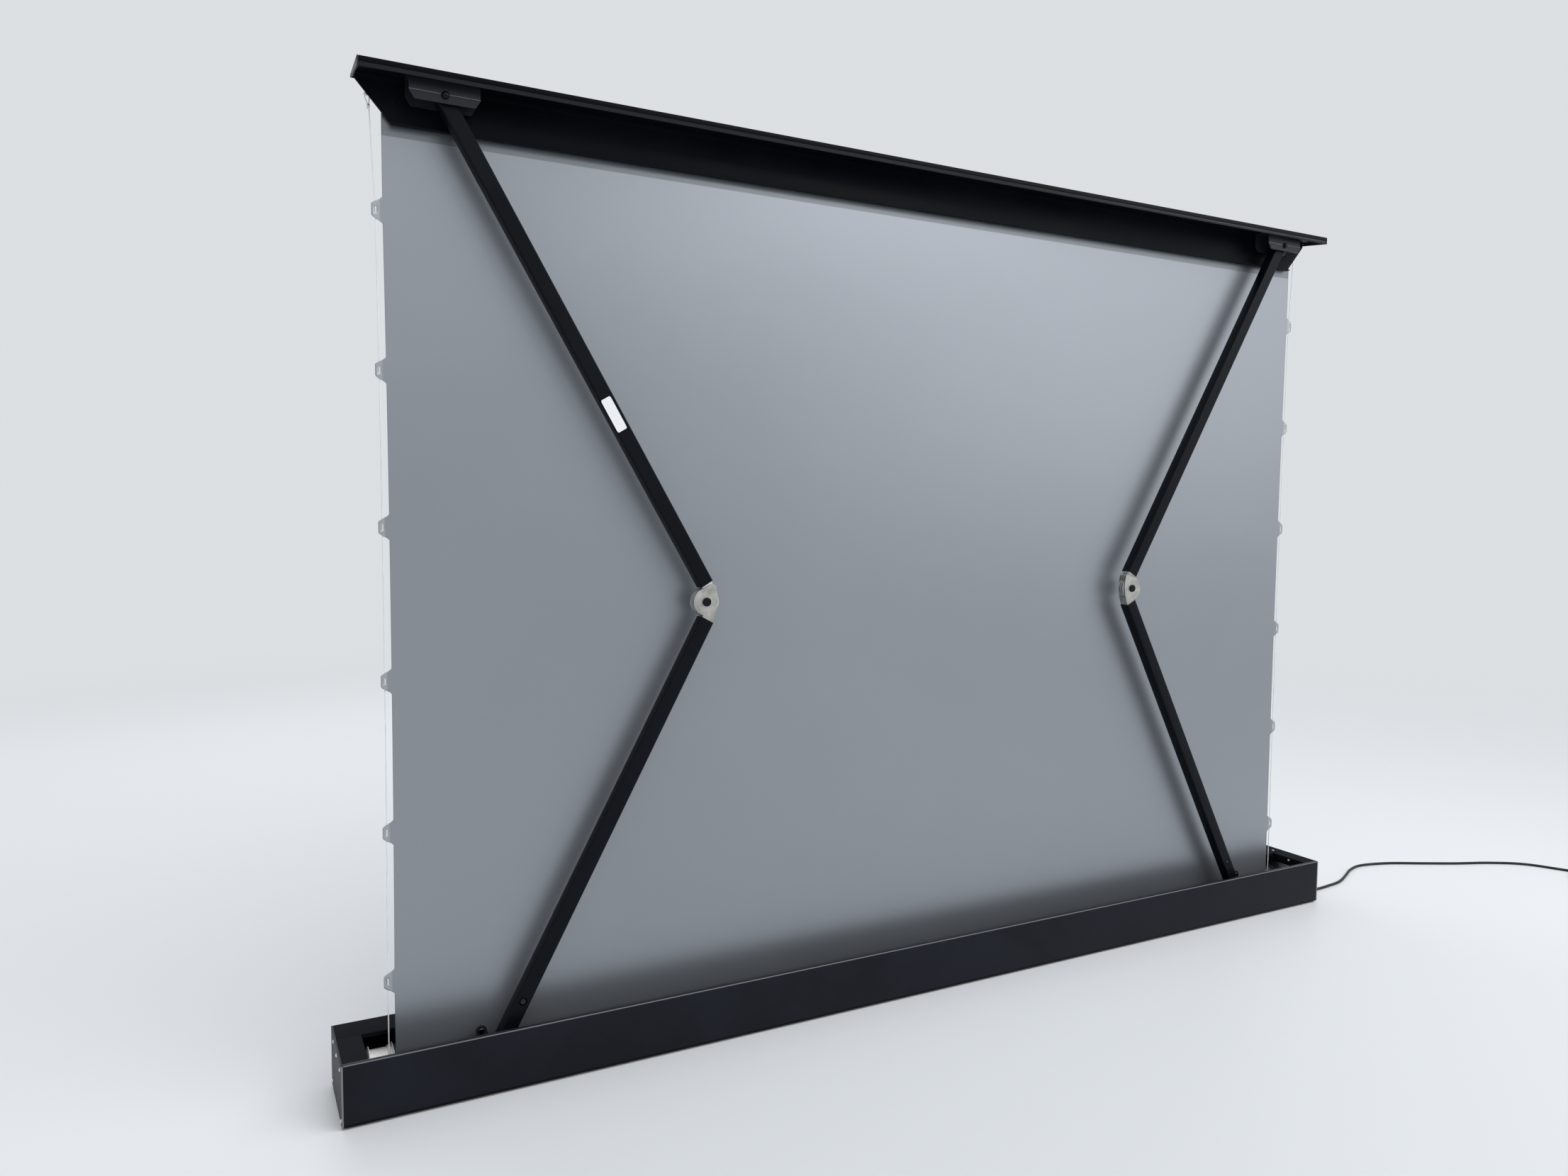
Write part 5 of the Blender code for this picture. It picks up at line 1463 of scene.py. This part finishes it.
@dataclass
class ArmPair(Assembly):
    """Both jointed arms with their knuckles, springs and bolts, and the bare label on one."""

    lower_pivot: tuple[float, float] = (975.8 * MM, 41.8 * MM)
    top_pivot: tuple[float, float] = (1041.1587 * MM, 1734.0515 * MM)
    lower_angle: float = math.radians(62.057)
    upper_angle: float = math.radians(59.783)
    middle_y: float = 37.8 * MM
    rear_y: float = 50.8 * MM
    spring_start: float = 124.0 * MM
    spring_length: float = 329.5 * MM
    spring_reach: float = 7.2 * MM
    spring_wire: float = 0.8 * MM
    spring_turns: int = 96
    label_along: float = 593.7 * MM
    label_across: float = 3.0 * MM
    label_size: tuple[float, float] = (66.0 * MM, 20.5 * MM)
    label_top: float = 0.16 * MM
    label_back: float = 0.03 * MM
    label_power: float = 14.0
    label_sides: int = 96
    coil_sides: int = 6
    steps_a_turn: int = 12

    def build_spring(self, side: str, sign: int) -> None:
        """A lift spring: a helix along the lower arm, on the arm's own axes.

        Args:
            side: Name of the side.
            sign: 1 on the right and -1 on the left.
        """
        cosine, sine = math.cos(self.lower_angle), math.sin(self.lower_angle)
        ahead = np.array([-sign * cosine, 0.0, sine])
        outward = np.array([sign * sine, 0.0, cosine])
        start = np.array([sign * self.lower_pivot[0], self.middle_y, self.lower_pivot[1]])
        turn = np.linspace(0, self.spring_turns, self.spring_turns * self.steps_a_turn + 1)[:, None]
        along = self.spring_start + self.spring_wire + turn / self.spring_turns * (
            self.spring_length - 2 * self.spring_wire)
        angle = 2 * np.pi * turn
        path = start + ahead * along + outward * self.spring_reach * np.cos(angle)
        path = path + np.array([0.0, 1.0, 0.0]) * self.spring_reach * np.sin(angle)
        wire = tube(path, self.spring_wire, self.coil_sides, tuple(ahead))
        self.shop.new(side + "_spring_coils", wire, Body(side + "_lower_arm"), slot="spring",
                      replaces=(side + "_lift_spring",))

    def build_label(self) -> None:
        """A bare paper label with round corners on the right upper arm.

        Its outline is a superellipse of high power on the arm's own axes, in rings from its middle.
        """
        cosine, sine = math.cos(self.upper_angle), math.sin(self.upper_angle)
        ahead = np.array([-cosine, 0.0, -sine])
        outward = np.array([sine, 0.0, -cosine])
        middle = np.array([self.top_pivot[0], self.rear_y, self.top_pivot[1]])
        middle = middle + ahead * self.label_along + outward * self.label_across
        ring = np.array([0.0, 1.0, 1.0, 0.0])[:, None]
        level = np.array([self.label_top, self.label_top, self.label_back, self.label_back])
        outline = superellipse(self.label_power, self.label_sides)
        along, across = (ring * size / 2 * part for size, part in zip(self.label_size, outline))
        points = middle + ahead * along[..., None] + outward * across[..., None]
        points = points + np.array([0.0, 1.0, 0.0]) * level[:, None, None]
        self.shop.new("bare_label", skin(points), Body.RIGHT_UPPER, finish=LABEL)

    def build(self) -> None:
        """Builds both arms."""
        self.carry(0.0, "_lower_tube", "_upper_tube", crease=TUBE_CREASE)
        self.carry(THIN, "_lower_knuckle")
        # The upper knuckles take the lighter steel, painted light
        self.carry(THIN, "_upper_knuckle", finish=LIT_KNUCKLE_STEEL)
        self.carry(EVEN, "_knee_pin", finish=PIN_CAP)
        self.carry(BROAD, "_anchor_bolt")
        for side, sign in SIDES.items():
            self.build_spring(side, sign)
        self.build_label()


# Lid


@dataclass
class Lid(Assembly):
    """The lid with its end caps, arm brackets, and the bar and clamp that hold the fabric's top."""

    pivot: tuple[float, float] = (1041.1587 * MM, 1734.0515 * MM)
    bracket_rear: float = 58.0 * MM
    dome_radius: float = 6.6 * MM
    dome_height: float = 5.4 * MM
    dome_foot: float = 0.8 * MM

    def dome(self, sign: int) -> Surface:
        """The glossy round head of an arm's upper pivot, on its bracket's fold.

        The profile is a quarter of an ellipse on a short straight foot, closed by a flat back.

        Args:
            sign: 1 for the right side, -1 for the left.

        Returns:
            Points and quads.
        """
        angle = np.linspace(0, np.pi / 2, 12)
        curve = np.stack([self.dome_foot + self.dome_height * np.sin(angle),
                          self.dome_radius * np.cos(angle)], axis=1)
        profile = np.vstack([[(0.0, 0.0), (0.0, self.dome_radius)], curve])
        place = (sign * self.pivot[0], self.bracket_rear, self.pivot[1])
        return turned(profile, Axis.Y, place, 40)

    def build(self) -> None:
        """Builds the lid."""
        # The lid's finish carries a painted highlight band on its rear lip
        self.carry(FINE, "lid_profile", finish=LID)
        self.carry(EVEN, "fabric_bar", finish=BAR)
        self.carry(FINE, "fabric_clamp", "_cord_peg")
        self.carry(EVEN, "_lid_cap")
        # The brackets' finish carries a painted highlight along the fold
        self.carry(FINE, "_lid_bracket", finish=BRACKET_FOLD_HIGHLIGHT)
        self.carry(FINE, "_lid_pivot", finish=GLOSS)
        for side, sign in SIDES.items():
            self.shop.new(side + "_pivot_dome", self.dome(sign), Body.LID, crease=HEAD_CREASE,
                          finish=GLOSS)


# Fabric


@dataclass
class ScreenCloth(Assembly):
    """The stretched fabric with its rows of tabs, and the tension cords that run through them."""

    half_width: float = 1135.8 * MM
    bottom: float = 50.0 * MM
    top: float = 1744.85 * MM
    rear_y: float = -2.95 * MM
    thickness: float = 0.5 * MM
    ripple_depth: float = 0.12 * MM
    ripple_across: float = 9.0
    ripple_slant: float = 2.0
    ripple_up: float = 7.0
    margin: float = 20.0 * MM
    cord_offset: float = 11.0 * MM
    cord_bow: float = 3.2 * MM
    tab_reach: float = 18.0 * MM
    tab_flat: float = 17.0 * MM
    tab_shoulder: float = 15.0 * MM
    slot_half_height: float = 6.0 * MM
    slot_half_width: float = 1.6 * MM
    first_tab: float = 206.4 * MM
    tab_pitch: float = 268.2 * MM
    tab_count: int = 6
    end_gap: float = 40.0 * MM
    cord_sides: int = 12
    ferrule_sides: int = 32
    cord_y: float = -4.85 * MM
    cord_radius: float = 1.1 * MM
    peg_x: float = 1157.6 * MM
    peg_z: float = 1734.85 * MM
    loop_radius: float = 4.0 * MM
    leg_shift: float = 1.0 * MM
    ferrule_z: float = 1716.0 * MM
    ferrule_half: float = 4.0 * MM
    ferrule_wide: float = 2.6 * MM
    ferrule_deep: float = 1.55 * MM
    lid_travel: float = 1656.85 * MM
    fold_from: float = 63.5 * MM

    def tab_heights(self) -> np.ndarray:
        """Middle height of each tab."""
        return self.first_tab + self.tab_pitch * np.arange(self.tab_count)

    def leg_x(self) -> float:
        """Where a cord leaves the ferrule, to the side of its peg."""
        return self.peg_x - self.loop_radius + self.leg_shift

    def cord_line(self, height: np.ndarray) -> np.ndarray:
        """Distance of a cord from the middle: it bows in by a parabola between its end tabs.

        Args:
            height: Heights above the floor.

        Returns:
            The distance at each height.
        """
        tabs = self.tab_heights()
        middle, reach = (tabs[0] + tabs[-1]) / 2, (tabs[-1] - tabs[0]) / 2
        share = np.minimum(1.0, np.abs(height - middle) / reach)
        return self.half_width + self.cord_offset - self.cord_bow * (1 - share ** 2)

    def tab_rise(self, height: np.ndarray) -> np.ndarray:
        """How far the edge stands out at a height: a cosine shoulder on each side of a flat.

        Args:
            height: Heights above the floor.

        Returns:
            The rise at each height.
        """
        nearest = np.min(np.abs(height[:, None] - self.tab_heights()), axis=1)
        share = np.clip((nearest - self.tab_flat / 2) / self.tab_shoulder, 0, 1)
        return self.tab_reach * (0.5 + 0.5 * np.cos(np.pi * share))

    def rows(self) -> np.ndarray:
        """Heights of the grid's rows, close together at the tabs.

        Returns:
            The heights, from the lowest.
        """
        near = np.array([0, 3, 6, 8.5, 10.5, 13, 16, 19, 21.5, 23.5]) * MM
        offsets = np.concatenate([-near[:0:-1], near])
        tabs = (self.tab_heights()[:, None] + offsets).ravel()
        steps = self.tab_pitch * np.linspace(0.2, 0.8, 5)
        between = (self.tab_heights()[:-1, None] + steps).ravel()
        ends = np.concatenate([np.linspace(self.bottom, self.first_tab - self.end_gap, 5),
                               np.linspace(self.tab_heights()[-1] + self.end_gap, self.top, 5)])
        return np.unique(np.round(np.concatenate([tabs, between, ends]), 7))

    def build_sheet(self) -> None:
        """The fabric: a grid whose outer columns follow the tabbed edge, with its slots left open.

        A row's outermost point is the cord line, less its offset, plus the tab's rise. The columns
        of the margin are fixed shares of the way there, two of them on the slot's sides.
        """
        height = self.rows()
        start = self.cord_line(height) - self.cord_offset - self.margin
        span = self.margin + self.tab_rise(height)
        wide = self.margin + self.tab_reach
        to_slot = (self.margin + self.cord_offset + np.array([-1, 1]) * self.slot_half_width) / wide
        shares = np.concatenate([[0.0, 0.3, 0.55, 0.70], to_slot, [0.93, 1.0]])
        inner = np.linspace(-1, 1, 33)[1:-1]
        right = start[:, None] + span[:, None] * shares
        across = np.hstack([-right[:, ::-1], start[:, None] * inner, right])
        slant = np.sin(across * self.ripple_across + height[:, None] * self.ripple_slant)
        ripple = self.ripple_depth * slant * np.sin(height[:, None] * self.ripple_up)
        points, quads = skin(points_at(across, self.rear_y + ripple, height[:, None]), False)
        columns = across.shape[1]
        row, column = np.divmod(quads[:, 0], columns)
        in_slot = np.any(np.abs((height[:-1] + height[1:])[:, None] / 2 - self.tab_heights())
                         < self.slot_half_height, axis=1)[row]
        slot_column = (column == columns - 4) | (column == 2)
        quads = quads[~(in_slot & slot_column)]
        sheet = self.shop.new("screen_cloth", (points, quads[:, ::-1]), Body.BASE, closed=False,
                              slot="fabric", replaces=("screen_fabric",))
        thicken(sheet, self.thickness, -1.0).material_offset = 1
        sheet.data.materials.append(self.shop.material(PICTURE))
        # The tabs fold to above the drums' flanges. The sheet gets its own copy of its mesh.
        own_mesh(sheet)

    def build_cords(self) -> None:
        """The tension cords, and at each one's top a loop round its peg, closed by a ferrule."""
        top = self.ferrule_z
        height = np.concatenate([np.linspace(self.bottom, self.first_tab, 8)[:-1],
                                 np.linspace(self.first_tab, self.tab_heights()[-1], 60),
                                 np.linspace(self.tab_heights()[-1], top, 8)[1:]])
        start_x = self.leg_x()
        line = self.cord_line(height)
        above = np.clip((height - self.tab_heights()[-1]) / (top - self.tab_heights()[-1]), 0, 1)
        line = line + (start_x - line) * above
        for side, sign in SIDES.items():
            path = points_at(sign * line, self.cord_y, height)
            cord = tube(path, self.cord_radius, self.cord_sides, (1.0, 0.0, 0.0))
            item = self.shop.new(side + "_taut_cord", cord, Body.BASE, slot="tension_cord",
                                 replaces=(side + "_tension_cord",))
            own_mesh(item)
            self.build_loop(side, sign)

    def build_loop(self, side: str, sign: int) -> None:
        """The loop of cord round its peg, and the ferrule below it.

        The loop is a half circle over the peg whose ends draw together down to the ferrule.

        Args:
            side: Name of the side.
            sign: 1 on the right and -1 on the left.
        """
        start_x = self.leg_x()
        angle = np.linspace(np.pi, 0, 25)
        over = np.stack([self.peg_x + self.loop_radius * np.cos(angle),
                         self.peg_z + self.loop_radius * np.sin(angle)], axis=1)
        share = np.linspace(0, 1, 9)[1:, None]
        ease = 0.5 - 0.5 * np.cos(np.pi * share)
        low = self.ferrule_z + self.ferrule_half / 2
        legs = []
        for end, foot in ((over[0], start_x), (over[-1], start_x + 2 * self.cord_radius)):
            across = end[0] + (foot - end[0]) * ease
            upward = end[1] + (low - end[1]) * share
            legs.append(np.hstack([across, upward]))
        flat = np.vstack([legs[0][::-1], over, legs[1]])
        path = points_at(sign * flat[:, 0], self.cord_y, flat[:, 1])
        cord = tube(path, self.cord_radius, self.cord_sides, (0.0, 1.0, 0.0))
        self.shop.new(side + "_cord_loop", cord, Body.LID, slot="tension_cord")
        cosine, sine = circle(self.ferrule_sides)
        ring = np.array([0.0, 0.86, 1.0, 1.0, 0.86, 0.0])[:, None]
        level = np.array([-1.0, -1.0, -0.85, 0.85, 1.0, 1.0])[:, None] * self.ferrule_half
        middle = sign * (start_x + self.cord_radius)
        points = points_at(middle + ring * self.ferrule_wide * cosine,
                           self.cord_y + ring * self.ferrule_deep * sine, self.ferrule_z + level)
        self.shop.new(side + "_cord_ferrule", skin(points), Body.LID, slot="aluminium")

    def build(self) -> None:
        """Builds the fabric and its cords."""
        self.build_sheet()
        self.build_cords()


def main() -> None:
    """Builds the camera, the cords and every sub-assembly in order, and reports the pieces."""
    logging.basicConfig(level=logging.INFO, format="%(message)s")
    Studio().build()
    shop = Workshop()
    PowerLead(shop).build()
    Casing(shop).build()
    RollerUnit(shop).build()
    ArmPair(shop).build()
    Lid(shop).build()
    ScreenCloth(shop).build()
    LOG.info("%d pieces built", shop.count)


if __name__ == "__main__":
    main()
